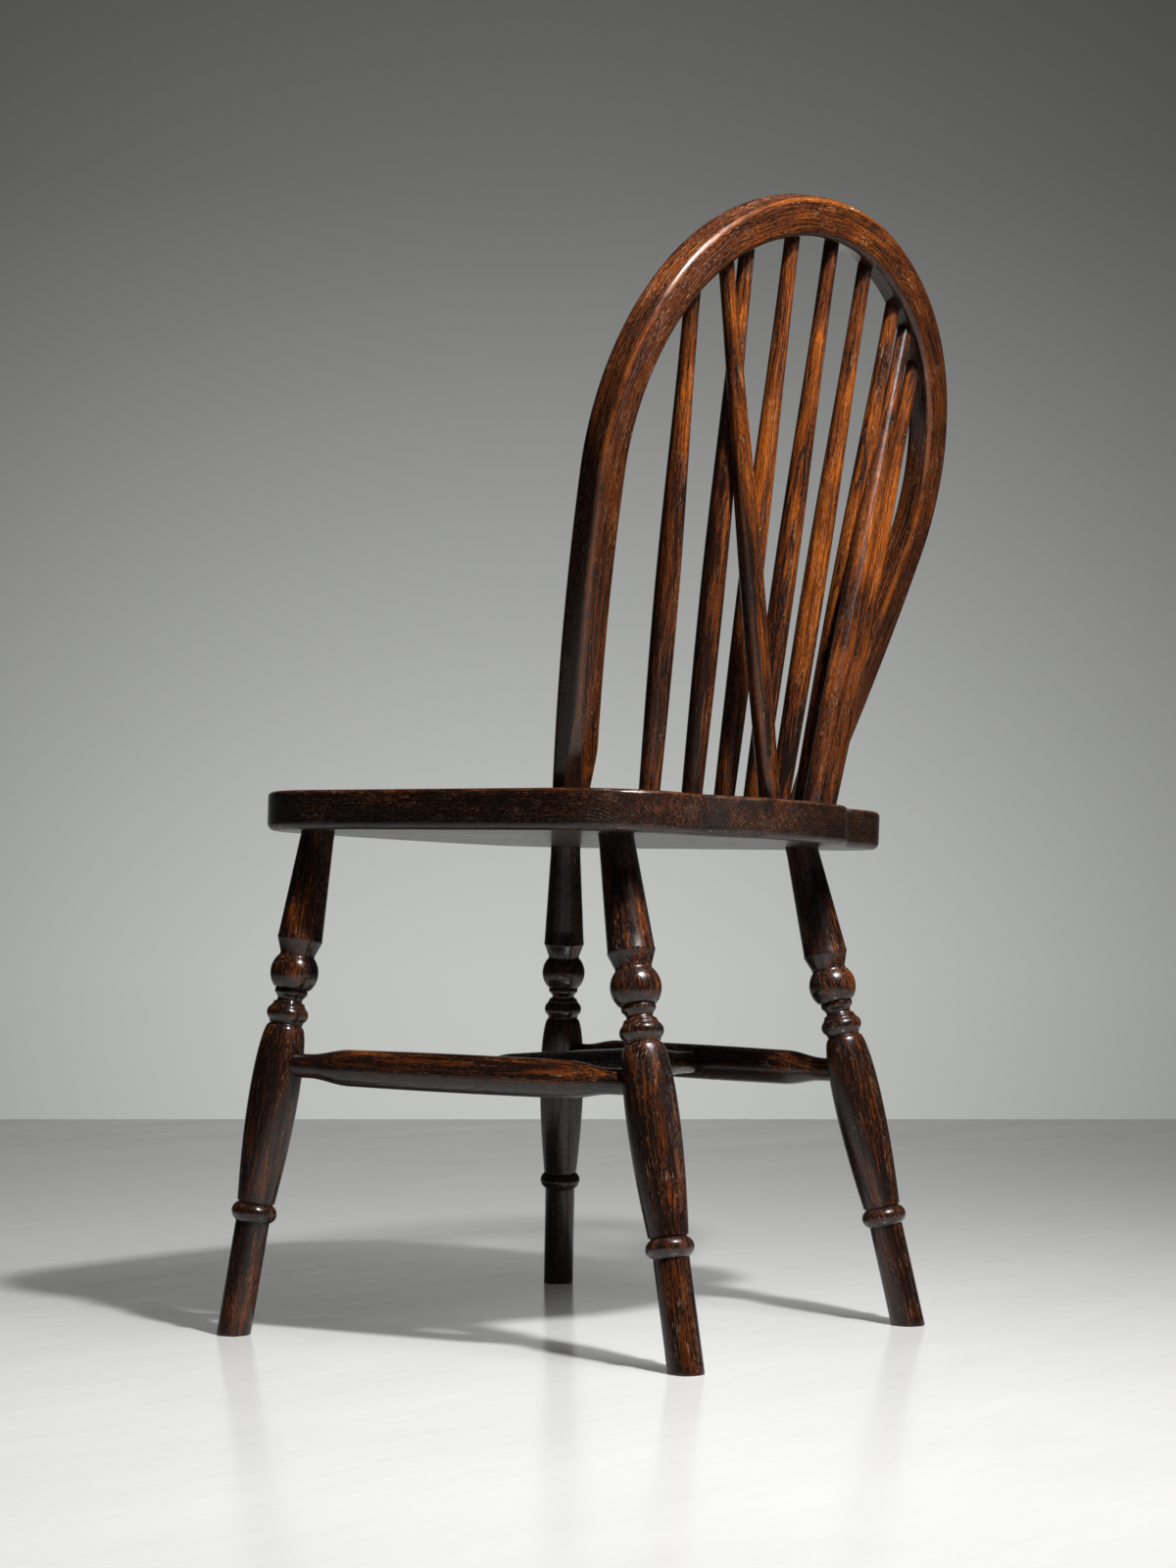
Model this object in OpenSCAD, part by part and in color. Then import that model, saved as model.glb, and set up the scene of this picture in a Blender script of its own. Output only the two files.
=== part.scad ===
// Hoop-back spindle chair with a bob-tail seat and two brace sticks.
// Millimetres, +Z up, +X to the sitter's left, the front of the seat towards -Y.
// The origin is the middle of the chair's footprint, on the floor.

/* [Seat] */
// Height of the seat's top above the floor, at its middle
seat_height = 453; // [430:1:480]
// Backward slope of the seat, in degrees
seat_tilt = 2.1; // [0:0.1:4]
// Thickness of the seat boards
seat_thickness = 33; // [32:1:42]
// Width of the seat at its front corners
seat_front_width = 414; // [404:1:440]
// Width of the seat at its rear corners
seat_rear_width = 424; // [414:1:440]
// From the seat's middle to its front edge
seat_front = 250; // [242:1:270]
// From the seat's middle to its rear edge, beside the tail
seat_back = 190; // [184:1:200]
// Rounding of the front corners
front_corner_r = 96; // [80:1:110]
// Rounding of the rear corners
rear_corner_r = 70; // [60:1:76]
// How far the tail stands out behind the rear edge
tail_length = 34; // [30:1:50]
// Width of the tail at its end
tail_width = 124; // [112:1:150]
// Width of the tail where it leaves the rear edge
tail_root_width = 224; // [200:1:240]
// From the seat's middle line to each glue line between the boards
board_seam = 109; // [98:0.5:114]
// Depth of the shallow hollow in the seat's top
dish_depth = 6; // [2:0.5:8]
// Radius of the hollow's rim
dish_radius = 140; // [120:1:145]

/* [Legs] */
// Distance between the front feet, across the chair
front_feet_width = 450; // [420:1:480]
// Distance between the rear feet, across the chair
rear_feet_width = 338; // [310:1:360]
// Distance from the front feet to the rear feet
feet_depth = 426; // [400:1:450]
// Distance between the tops of the front legs, under the seat
front_tops_width = 346; // [330:1:350]
// Distance between the tops of the rear legs, under the seat
rear_tops_width = 276; // [264:1:284]
// From the seat's middle to the front legs' tops
front_tops_y = 163; // [150:1:170]
// From the seat's middle to the rear legs' tops
rear_tops_y = 125; // [114:1:130]
// Diameter of the leg's straight foot
foot_d = 28.5; // [26:0.5:32]
// Diameter of the ring above the foot
low_ring_d = 38.5; // [35:0.5:42]
// Largest diameter of the leg's long swell
swell_d = 42; // [39:0.5:46]
// Diameter of the ring above the swell
high_ring_d = 35.4; // [31:0.2:37]
// Diameter of the neck between that ring and the ball
neck_d = 21; // [19:0.5:24]
// Diameter of the ball
ball_d = 40.8; // [36:0.2:42]
// Diameter of the flare above the ball
flare_d = 38.4; // [34:0.2:40]
// Diameter of the leg's top, and of its tenon in the seat
leg_top_d = 28.4; // [24:0.2:29]
// How deep a leg goes into the seat
leg_socket = 24; // [18:1:25]

/* [Stretchers] */
// Distance along a rear leg from its foot to the side stretcher
stretcher_up = 225; // [205:1:240]
// Diameter of a stretcher's ends
stretcher_end_d = 20.4; // [16:0.2:24]
// Diameter of a side stretcher's long swell
side_stretcher_d = 31.8; // [28:0.2:36]
// Diameter of the cross stretcher's swell
cross_stretcher_d = 30; // [27:0.5:34]

/* [Hoop] */
// Backward lean of the hoop, in degrees
hoop_lean = 17.05; // [14:0.05:20]
// Length up the slope from the seat to the hoop's crown
hoop_rise = 494.5; // [475:0.5:520]
// From the seat's middle to the hoop's rear face, at the seat
hoop_back = 117; // [112:0.5:122]
// Outer radius of the crown
crown_radius = 271; // [262:1:280]
// Angle of the crown to each side of its top
crown_angle = 34; // [32:0.5:36]
// Outer radius of the hoop's shoulders
shoulder_radius = 210; // [204:1:216]
// Angle of each shoulder
shoulder_angle = 65.5; // [64:0.5:67]
// Outer radius of the slightly bowed limbs
limb_radius = 1800; // [1400:10:2400]
// Width of the hoop, seen from behind
hoop_width = 31; // [29:0.5:35]
// Thickness of the hoop, front to back
hoop_thickness = 25; // [24:0.5:28]
// Rounding of the hoop's long edges
hoop_round = 6; // [3:0.5:9]
// How much the foot of a limb is shaved on its inner side
foot_shave = 12; // [4:0.5:12.5]
// Length of that shaved stretch
foot_shave_length = 50; // [30:1:60]
// Diameter of the round tenon below a limb
hoop_tenon_d = 17; // [14:0.5:18]
// Depth of that tenon in the seat
hoop_socket = 24; // [16:1:26]

/* [Sticks] */
// Distance across the hoop from one stick's top to the next
stick_pitch = 55.8; // [52:0.2:57]
// Distance across the seat from one inner stick's foot to the next
foot_pitch = 41.4; // [40.4:0.1:42]
// Distance across the seat from the middle line to an outer stick's foot
outer_foot_x = 132; // [126:1:134]
// From the seat's middle to the centre stick's foot
stick_foot_y = 163; // [160:1:166]
// How far forward of it the outer sticks stand
foot_arc_drop = 11; // [8:0.5:13]
// Diameter of a stick at its top, and of its hole in the hoop
stick_top_d = 12.4; // [11:0.2:13]
// Largest diameter of a stick
stick_swell_d = 19.6; // [18:0.2:21]
// Diameter of a stick at the seat
stick_foot_d = 17; // [15:0.2:18]
// Diameter of the tenons of the sticks and braces in the seat
stick_tenon_d = 12; // [10:0.5:13]
// Depth of those tenons
stick_socket = 20; // [14:1:24]
// Depth of the sticks' holes in the hoop
top_socket = 15; // [10:1:18]
// From the hoop's rear face to the middle of the sticks' holes
stick_hole_depth = 14.5; // [12:0.5:15]

/* [Braces] */
// From the seat's middle to the braces' feet on the tail
brace_foot_y = 201; // [198:1:204]
// Distance between the braces' feet
brace_foot_width = 67; // [60:1:76]
// Distance between the braces' tops in the hoop
brace_top_width = 274; // [268:1:280]
// From the hoop's rear face to the middle of the braces' holes
brace_hole_depth = 13; // [11:0.5:14]

/* [Glue lines] */
// Clearance for glue round a tenon or a dowel
glue_gap = 0.1; // [0.05:0.05:0.3]
// Diameter of the hidden dowels between the seat boards
dowel_d = 9; // [8:0.5:10]
// Length of those dowels
dowel_length = 50; // [40:1:60]

/* [Hidden] */
$fn = 64;
dark_wood = [0.23, 0.11, 0.06];
lit_wood = [0.36, 0.17, 0.08];
big = 900;
steps = 10;

// Seat outline: the bow of its front and of its tail, and the tail's roundings
front_bow = 9;
tail_bow = 8;
tail_corner_r = 24;
tail_root_r = 30;
dish_y = -50;
dowel_places = [-190, -60, 75];

// Leg turning: heights along a rear leg from its foot, and the sizes between
low_ring_at = 96;
low_ring_h = 16;
swell_start_d = foot_d + 1.6;
swell_at = 197;
swell_top = 256;
swell_top_d = 28.4;
high_ring_at = 266;
high_ring_h = 14.6;
cuff_at = 274.2;
cuff_d = 27;
cuff_h = 3.6;
neck_at = 278;
collar_at = 285;
collar_d = 27.6;
collar_h = 5;
ball_at = 301.5;
ball_neck_d = 29.4;
flare_at = 331;
flare_h = 13;
flare_edge = 2.5;
leg_end_h = 6;
// How much higher up its foot a front leg's turning stands, besides its extra length
front_turning_up = 2.6;

// Stretcher turning: its straight end, its taper, and how full the taper's top is
stretcher_straight = 32;
stretcher_taper = 42;
stretcher_fullness = 0.9;

// Height of a stick's largest diameter, as a part of its length
stick_swell_at = 0.37;

function unit(v) = v / norm(v);
function flip(p, side) = [p[0] * side, p[1], p[2]];
function towards(from, to, way) = from + unit(to - from) * way;

// A point of the sloping seat, with z measured from its top
function seat_point(x, y, z) =
    [x, y * cos(seat_tilt) + z * sin(seat_tilt),
     seat_height - y * sin(seat_tilt) + z * cos(seat_tilt)];

// A point of the hoop's plane: x across, s up the slope, depth forward of its rear face
hoop_base = seat_point(0, hoop_back, 0);
function hoop_point(x, s, depth) =
    [x, hoop_base[1] + s * sin(hoop_lean) - depth * cos(hoop_lean),
     hoop_base[2] + s * cos(hoop_lean) + depth * sin(hoop_lean)];

// Centres of the hoop's tangent arcs, and the angles where they end
shoulder_end = 90 - crown_angle - shoulder_angle;
crown_centre = [0, hoop_rise - crown_radius];
shoulder_centre = crown_centre + (crown_radius - shoulder_radius) * [sin(crown_angle), cos(crown_angle)];
limb_centre = shoulder_centre + (shoulder_radius - limb_radius) * [cos(shoulder_end), sin(shoulder_end)];
limb_below = 16;
limb_end = asin(-(limb_centre[1] + limb_below) / limb_radius);
// Degrees by which two stretches of one arc lap over each other
arc_lap = 0.5;
// How much slimmer each face of the hoop is below the middle of its shoulders
limb_slimmer = 0.05;

// Height up the slope of the hoop's inner edge, at a distance x from the middle line
crown_inner = crown_radius - hoop_width;
shoulder_inner = shoulder_radius - hoop_width;
function inner_edge(x) = abs(x) < crown_inner * sin(crown_angle)
    ? crown_centre[1] + sqrt(pow(crown_inner, 2) - pow(x, 2))
    : shoulder_centre[1] + sqrt(pow(shoulder_inner, 2) - pow(abs(x) - shoulder_centre[0], 2));

// Where the tenon leaves a limb, in the middle of its shaved section
limb_inner = limb_radius - hoop_width;
limb_middle = limb_radius - hoop_width / 2;
foot_angle = asin(-limb_centre[1] / limb_middle);
tenon_x = limb_centre[0] + limb_middle * cos(foot_angle) + foot_shave / 2;
tenon_top = hoop_point(tenon_x, 0, hoop_thickness / 2);
tenon_end = hoop_point(tenon_x + hoop_socket * sin(foot_angle), -hoop_socket * cos(foot_angle),
    hoop_thickness / 2);

// The footprint's middle, so that the whole chair stands round the origin
rear_reach = hoop_point(0, hoop_rise - hoop_round, hoop_round)[1] + hoop_round;
front_reach = seat_point(0, -seat_front, -seat_thickness)[1];
centre_y = (rear_reach + front_reach) / 2;

// Legs of the sitter's left side: feet, tops, and the points where stretchers meet them.
// All four are turned nearly alike, so the front legs, being longer, have longer feet.
rear_foot = [rear_feet_width / 2, feet_depth / 2, 0];
front_foot = [front_feet_width / 2, -feet_depth / 2, 0];
rear_top = seat_point(rear_tops_width / 2, rear_tops_y, -seat_thickness);
front_top = seat_point(front_tops_width / 2, -front_tops_y, -seat_thickness);
front_extra = norm(front_top - front_foot) - norm(rear_top - rear_foot);
rear_joint = towards(rear_foot, rear_top, stretcher_up);
front_joint = towards(front_foot, front_top, stretcher_up + front_extra);
side_middle = (front_joint + rear_joint) / 2;

// Sticks are numbered from the sitter's left, with the fourth in the middle
middle_stick = 4;
stick_count = 7;
function stick_foot_x(i) = abs(i - middle_stick) == 3
    ? outer_foot_x * sign(middle_stick - i)
    : foot_pitch * (middle_stick - i);
function stick_foot(i) = seat_point(stick_foot_x(i),
    stick_foot_y - foot_arc_drop * pow(stick_foot_x(i) / outer_foot_x, 2), 0);
function hoop_hole(x, depth) = hoop_point(x, inner_edge(x), depth);
function stick_top(i) = hoop_hole(stick_pitch * (middle_stick - i), stick_hole_depth);
function brace_foot(side) = seat_point(side * brace_foot_width / 2, brace_foot_y, 0);
function brace_top(side) = hoop_hole(side * brace_top_width / 2, brace_hole_depth);

// Points of the arc that rounds the corner b of the path a, b, c
function corner_arc(a, b, c, r) =
    let (u = unit(a - b), v = unit(c - b))
    let (half = acos(u * v) / 2)
    let (centre = b + unit(u + v) * r / sin(half))
    let (first = b + u * r / tan(half) - centre)
    let (start = atan2(first[1], first[0]), turn = 180 - 2 * half)
    [for (k = [0 : steps]) centre + r * [cos(start + turn * k / steps), sin(start + turn * k / steps)]];

// The root of the tail is hollow, so its arc turns the other way
function hollow_arc(a, b, c, r) =
    let (back = corner_arc(c, b, a, r))
    [for (k = [0 : steps]) back[steps - k]];

// Half of the seat's outline, from the front's middle round to the tail's middle
front_middle = [0, -seat_front];
front_corner = [seat_front_width / 2, -seat_front + front_bow];
rear_corner = [seat_rear_width / 2, seat_back];
tail_root = [tail_root_width / 2, seat_back];
tail_corner = [tail_width / 2, seat_back + tail_length - tail_bow];
tail_middle = [0, seat_back + tail_length];
half_outline = concat(
    [front_middle],
    corner_arc(front_middle, front_corner, rear_corner, front_corner_r),
    corner_arc(front_corner, rear_corner, tail_root, rear_corner_r),
    hollow_arc(rear_corner, tail_root, tail_corner, tail_root_r),
    corner_arc(tail_root, tail_corner, tail_middle, tail_corner_r),
    [tail_middle]);
seat_outline = concat(half_outline,
    [for (i = [len(half_outline) - 2 : -1 : 1]) [-half_outline[i][0], half_outline[i][1]]]);

// Moves a finished piece so that the footprint's middle is the origin
module place(tone) {
    translate([0, -centre_y, 0]) color(tone) children();
}

// Puts children, made along +Z from the origin, along the line from one point to another
module along(from, to) {
    way = to - from;
    translate(from)
        rotate([0, acos(way[2] / norm(way)), atan2(way[1], way[0])])
            children();
}

module on_seat() {
    translate([0, 0, seat_height]) rotate([-seat_tilt, 0, 0]) children();
}

// Everything below the flat of the seat's top
module below_seat() {
    on_seat() translate([-big / 2, -big / 2, -big]) cube(big);
}

// A round hole for a tenon that goes from one point to another, open at the first
module socket(from, to, d) {
    along(from, to) translate([0, 0, -d])
        cylinder(h = norm(to - from) + d + glue_gap, d = d + 2 * glue_gap);
}

// ---- Seat ----

module seat_sockets() {
    for (side = [-1, 1]) {
        socket(flip(rear_top, side), flip(towards(rear_top, rear_foot, -leg_socket), side), leg_top_d);
        socket(flip(front_top, side), flip(towards(front_top, front_foot, -leg_socket), side), leg_top_d);
        socket(flip(tenon_top, side), flip(tenon_end, side), hoop_tenon_d);
        socket(brace_foot(side), towards(brace_foot(side), brace_top(side), -stick_socket), stick_tenon_d);
    }
    for (i = [1 : stick_count])
        socket(stick_foot(i), towards(stick_foot(i), stick_top(i), -stick_socket), stick_tenon_d);
}

module dowels(gap) {
    for (side = [-1, 1], y = dowel_places)
        on_seat() translate([side * board_seam, y, -(seat_thickness + dish_depth / 2) / 2])
            rotate([0, 90, 0])
                cylinder(h = dowel_length + 2 * gap, d = dowel_d + 2 * gap, center = true);
}

// The board between two lines along the seat
module seat_board(from_x, to_x) {
    hollow_r = (pow(dish_radius, 2) + pow(dish_depth, 2)) / (2 * dish_depth);
    place(dark_wood) difference() {
        on_seat() difference() {
            translate([0, 0, -seat_thickness]) linear_extrude(seat_thickness) intersection() {
                polygon(seat_outline);
                translate([from_x, -big / 2]) square([to_x - from_x, big]);
            }
            translate([0, dish_y, hollow_r - dish_depth]) sphere(hollow_r, $fn = 200);
        }
        seat_sockets();
        dowels(glue_gap);
    }
}
module seat_board_left() { seat_board(board_seam, big / 2); }
module seat_board_middle() { seat_board(-board_seam, board_seam); }
module seat_board_right() { seat_board(-big / 2, -board_seam); }
module seat_dowels() { place(dark_wood) dowels(0); }

// ---- Legs ----

// A rounded ring of the turning, seen as a 2D profile beside the axis
module bead(at, d, h) {
    translate([0, at - h / 2]) square([(d - h) / 2, h]);
    translate([(d - h) / 2, at]) circle(d = h);
}

// The long swell: a rising sine below its widest place and a quarter ellipse above
module swell() {
    rise = [for (k = [0 : steps])
        [(swell_start_d + (swell_d - swell_start_d) * sin(90 * k / steps)) / 2,
         low_ring_at + (swell_at - low_ring_at) * k / steps]];
    fall = [for (k = [1 : steps])
        [(swell_top_d + (swell_d - swell_top_d) * cos(90 * k / steps)) / 2,
         swell_at + (swell_top - swell_at) * sin(90 * k / steps)]];
    polygon(concat([[0, low_ring_at]], rise, fall,
        [[swell_top_d / 2, high_ring_at], [0, high_ring_at]]));
}

module neck() {
    shoulder = [high_ring_d / 2 - high_ring_h / 4, high_ring_at + high_ring_h / 2 - 1];
    polygon([[0, high_ring_at], shoulder, [neck_d / 2, neck_at - 2], [neck_d / 2, neck_at + 1],
        [collar_d / 2 - 2, collar_at], [0, collar_at]]);
    translate([0, collar_at]) square([neck_d / 2, ball_at - collar_at]);
}

module ball() {
    intersection() {
        translate([0, ball_at]) circle(d = ball_d);
        translate([0, ball_at - ball_d / 2]) square(ball_d);
    }
}

module flare(top) {
    polygon([[0, ball_at], [ball_neck_d / 2, ball_at], [ball_neck_d / 2, flare_at - flare_h],
        [flare_d / 2 - 0.4, flare_at - flare_edge], [flare_d / 2, flare_at],
        [leg_top_d / 2, top - leg_end_h], [leg_top_d / 2, top + leg_socket], [0, top + leg_socket]]);
}

// The turned leg as a profile, with its foot longer by "extra"
module leg_profile(extra, length) {
    translate([0, -foot_d]) square([foot_d / 2, low_ring_at + foot_d + extra]);
    translate([0, extra]) {
        bead(low_ring_at, low_ring_d, low_ring_h);
        swell();
        bead(high_ring_at, high_ring_d, high_ring_h);
        bead(cuff_at, cuff_d, cuff_h);
        neck();
        bead(collar_at, collar_d, collar_h);
        ball();
        flare(length - extra);
    }
}

// A leg with its foot cut flat on the floor and a hole for the side stretcher
module leg(side, foot, top, extra, joint, other_joint) {
    place(dark_wood) difference() {
        along(flip(foot, side), flip(top, side)) rotate([0, 0, 90])
            rotate_extrude() leg_profile(extra, norm(top - foot));
        translate([-big / 2, -big / 2, -big]) cube(big);
        along(flip(joint, side), flip(other_joint, side)) translate([0, 0, -glue_gap])
            cylinder(h = swell_d, d = stretcher_end_d + 2 * glue_gap);
    }
}
module front_leg(side) {
    leg(side, front_foot, front_top, front_extra + front_turning_up, front_joint, rear_joint);
}
module rear_leg(side) { leg(side, rear_foot, rear_top, 0, rear_joint, front_joint); }
module leg_front_left() { front_leg(1); }
module leg_front_right() { front_leg(-1); }
module leg_rear_left() { rear_leg(1); }
module leg_rear_right() { rear_leg(-1); }

// ---- Stretchers ----

// Half-diameter of a stretcher at a distance from its nearer end
function stretcher_r(way, half, d) =
    let (u = (way - stretcher_straight) / stretcher_taper)
    let (v = (way - stretcher_straight - stretcher_taper) / (half - stretcher_straight - stretcher_taper))
    (stretcher_end_d + (d - stretcher_end_d) * (u < 0 ? 0
        : u < 1 ? stretcher_fullness * (1 - cos(180 * u)) / 2
        : stretcher_fullness + (1 - stretcher_fullness) * sin(90 * v))) / 2;

// Swelled turning between two points, with straight ends
module stretcher(from, to, d) {
    length = norm(to - from);
    half = length / 2;
    knots = concat([0], [for (k = [0 : steps]) stretcher_straight + stretcher_taper * k / steps],
        [for (k = [1 : steps - 1]) stretcher_straight + stretcher_taper
            + (half - stretcher_straight - stretcher_taper) * k / steps]);
    count = len(knots);
    near_side = [for (i = [0 : count - 1]) [stretcher_r(knots[i], half, d), knots[i]]];
    far_side = [for (i = [count - 1 : -1 : 0]) [stretcher_r(knots[i], half, d), length - knots[i]]];
    along(from, to) rotate_extrude() polygon(concat([[0, 0]], near_side, far_side, [[0, length]]));
}
module side_stretcher(side) {
    place(dark_wood) difference() {
        stretcher(flip(front_joint, side), flip(rear_joint, side), side_stretcher_d);
        along(flip(side_middle, side), flip(side_middle, -side)) translate([0, 0, -glue_gap])
            cylinder(h = side_stretcher_d, d = stretcher_end_d + 2 * glue_gap);
    }
}
module side_stretcher_left() { side_stretcher(1); }
module side_stretcher_right() { side_stretcher(-1); }
module cross_stretcher() {
    place(dark_wood) stretcher(side_middle, flip(side_middle, -1), cross_stretcher_d);
}

// ---- Hoop ----

// The hoop's section as a profile: x is the radius, y the depth from the rear face
module hoop_section(outer, slimmer) {
    wide = hoop_width - 2 * slimmer;
    thick = hoop_thickness - 2 * slimmer;
    translate([outer - hoop_width + slimmer, slimmer]) {
        translate([hoop_round, 0]) square([wide - 2 * hoop_round, thick]);
        translate([0, hoop_round]) square([wide, thick - 2 * hoop_round]);
        for (x = [hoop_round, wide - hoop_round], y = [hoop_round, thick - hoop_round])
            translate([x, y]) circle(hoop_round);
    }
}

// One bent stretch of the hoop, round the origin
module hoop_arc(outer, from, to, slimmer) {
    rotate_extrude(angle = to - from, start = from, $fn = 120) hoop_section(outer, slimmer);
}

// The left side of the hoop. Each arc starts on the line where the one above it ends, and
// the stretches of one arc lap over each other. It is a hair slimmer from the middle of its
// shoulder down.
module hoop_side() {
    translate(crown_centre) rotate([0, 0, 90 - crown_angle]) {
        hoop_arc(crown_radius, 0, crown_angle + arc_lap, 0);
        translate([crown_radius - shoulder_radius, 0, 0]) {
            hoop_arc(shoulder_radius, -shoulder_angle / 2, 0, 0);
            rotate([0, 0, -shoulder_angle]) {
                hoop_arc(shoulder_radius, 0, shoulder_angle / 2 + arc_lap, limb_slimmer);
                translate([shoulder_radius - limb_radius, 0, 0])
                    hoop_arc(limb_radius, limb_end - shoulder_end, 0, limb_slimmer);
            }
        }
    }
}

// What is shaved off the inner side of a limb's foot
module foot_slice() {
    top_angle = asin((foot_shave_length - limb_centre[1]) / limb_inner);
    low_angle = asin(-limb_centre[1] / limb_inner);
    top_x = limb_centre[0] + limb_inner * cos(top_angle);
    low_x = limb_centre[0] + limb_inner * cos(low_angle) + foot_shave;
    clear_x = low_x - hoop_width;
    translate([0, 0, -1]) linear_extrude(hoop_thickness + 2)
        polygon([[top_x, foot_shave_length], [low_x, 0], [low_x, -2 * limb_below],
            [clear_x, -2 * limb_below], [clear_x, foot_shave_length]]);
}

// A tenon in the seat's socket, rooted in the piece above it
module seat_tenon(from, to, d, root) {
    along(towards(from, to, -root), to) cylinder(h = norm(to - from) + root, d = d);
}

module hoop_hole_for(foot, top) {
    along(towards(top, foot, stick_top_d), top)
        cylinder(h = stick_top_d + top_socket + glue_gap, d = stick_top_d + 2 * glue_gap);
}

module hoop() {
    place(lit_wood) {
        difference() {
            translate(hoop_base) rotate([90 - hoop_lean, 0, 0])
                for (side = [0, 1]) mirror([side, 0, 0]) difference() {
                    hoop_side();
                    foot_slice();
                }
            below_seat();
            for (i = [1 : stick_count]) hoop_hole_for(stick_foot(i), stick_top(i));
            for (side = [-1, 1]) hoop_hole_for(brace_foot(side), brace_top(side));
        }
        for (side = [-1, 1])
            seat_tenon(flip(tenon_top, side), flip(tenon_end, side), hoop_tenon_d, hoop_thickness / 2);
    }
}

// ---- Sticks and braces ----

// Half-diameter of a stick at a share u of its length above the seat
function stick_r(u) = (u < stick_swell_at
    ? stick_foot_d + (stick_swell_d - stick_foot_d) * sin(90 * u / stick_swell_at)
    : stick_top_d + (stick_swell_d - stick_top_d)
        * (1 + cos(180 * (u - stick_swell_at) / (1 - stick_swell_at))) / 2) / 2;

// A stick from the seat to the hoop, cut to the seat's top, with a tenon below it
module stick(foot, top) {
    length = norm(top - foot);
    // It is at its top diameter a little before the hoop, because its hole is slanted
    turned = length - stick_top_d / 2;
    profile = [for (k = [0 : steps + 2]) let (u = k / (steps + 2)) [stick_r(u), turned * u]];
    place(lit_wood) {
        difference() {
            along(foot, top) rotate_extrude()
                polygon(concat([[0, -stick_foot_d], [stick_foot_d / 2, -stick_foot_d]], profile,
                    [[stick_top_d / 2, length + top_socket], [0, length + top_socket]]));
            below_seat();
        }
        seat_tenon(foot, towards(foot, top, -stick_socket), stick_tenon_d, stick_foot_d);
    }
}
module stick_1() { stick(stick_foot(1), stick_top(1)); }
module stick_2() { stick(stick_foot(2), stick_top(2)); }
module stick_3() { stick(stick_foot(3), stick_top(3)); }
module stick_4() { stick(stick_foot(4), stick_top(4)); }
module stick_5() { stick(stick_foot(5), stick_top(5)); }
module stick_6() { stick(stick_foot(6), stick_top(6)); }
module stick_7() { stick(stick_foot(7), stick_top(7)); }
module brace_left() { stick(brace_foot(1), brace_top(1)); }
module brace_right() { stick(brace_foot(-1), brace_top(-1)); }

seat_board_left();
seat_board_middle();
seat_board_right();
seat_dowels();
leg_front_left();
leg_front_right();
leg_rear_left();
leg_rear_right();
side_stretcher_left();
side_stretcher_right();
cross_stretcher();
hoop();
stick_1();
stick_2();
stick_3();
stick_4();
stick_5();
stick_6();
stick_7();
brace_left();
brace_right();
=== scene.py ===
"""Looks of a hoop-back spindle chair in dark stained oak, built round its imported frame.

Metres, +Z up, +X to the sitter's left, the front of the seat towards -Y, the floor at z = 0.
"""

import math

import bmesh
import bpy
from bpy.props import FloatProperty, FloatVectorProperty, PointerProperty
from bpy.types import Operator, Panel, PropertyGroup
from mathutils import Matrix, Vector


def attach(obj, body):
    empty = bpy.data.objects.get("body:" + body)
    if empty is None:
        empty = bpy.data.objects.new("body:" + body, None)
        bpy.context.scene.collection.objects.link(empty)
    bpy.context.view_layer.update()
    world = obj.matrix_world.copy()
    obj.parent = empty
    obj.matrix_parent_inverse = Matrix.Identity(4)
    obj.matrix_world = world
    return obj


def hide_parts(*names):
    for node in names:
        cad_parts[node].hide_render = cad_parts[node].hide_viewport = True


bl_info = {
    "name": "Hoop-back Chair",
    "version": (1, 0, 0),
    "blender": (4, 5, 0),
    "location": "View3D > Sidebar > Chair",
    "description": "Models and finishes a hoop-back spindle chair round its frame",
    "category": "Object",
}

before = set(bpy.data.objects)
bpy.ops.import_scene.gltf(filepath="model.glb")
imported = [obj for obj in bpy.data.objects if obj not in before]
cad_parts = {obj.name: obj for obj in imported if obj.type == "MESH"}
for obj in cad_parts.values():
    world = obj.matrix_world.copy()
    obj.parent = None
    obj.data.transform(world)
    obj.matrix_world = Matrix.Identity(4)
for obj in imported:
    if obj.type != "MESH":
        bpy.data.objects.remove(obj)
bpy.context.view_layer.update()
SIDES = (("left", 1), ("right", -1))
# How far back the dowels of each glue line lie
DOWEL_PLACES = (-0.190, -0.060, 0.075)
# Each piece has a number, by which it gets its own stretch of tree, and these come first
BOARD, LEG, STRETCHER, HOOP, TENON, STICK, DOWEL = 0, 4, 8, 12, 13, 14, 30
# Points that lie closer than this belong to one line or level
TOUCH = 1e-5


# ---- Sizes and finishes that a user would change ----

def amount(name, description, default, **kind):
    return FloatProperty(name=name, description=description, default=default, **kind)


def length(name, description, default):
    return amount(name, description, default, unit="LENGTH")


def angle(name, description, degrees):
    return amount(name, description, math.radians(degrees), unit="ROTATION")


def power(name, description, watts):
    return amount(name, description, watts, unit="POWER")


def share(name, description, default):
    return amount(name, description, default, min=0, max=1, subtype="FACTOR")


def colour(name, description, default):
    return FloatVectorProperty(name=name, description=description, default=default, size=3,
                               min=0, max=1, subtype="COLOR")


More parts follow.
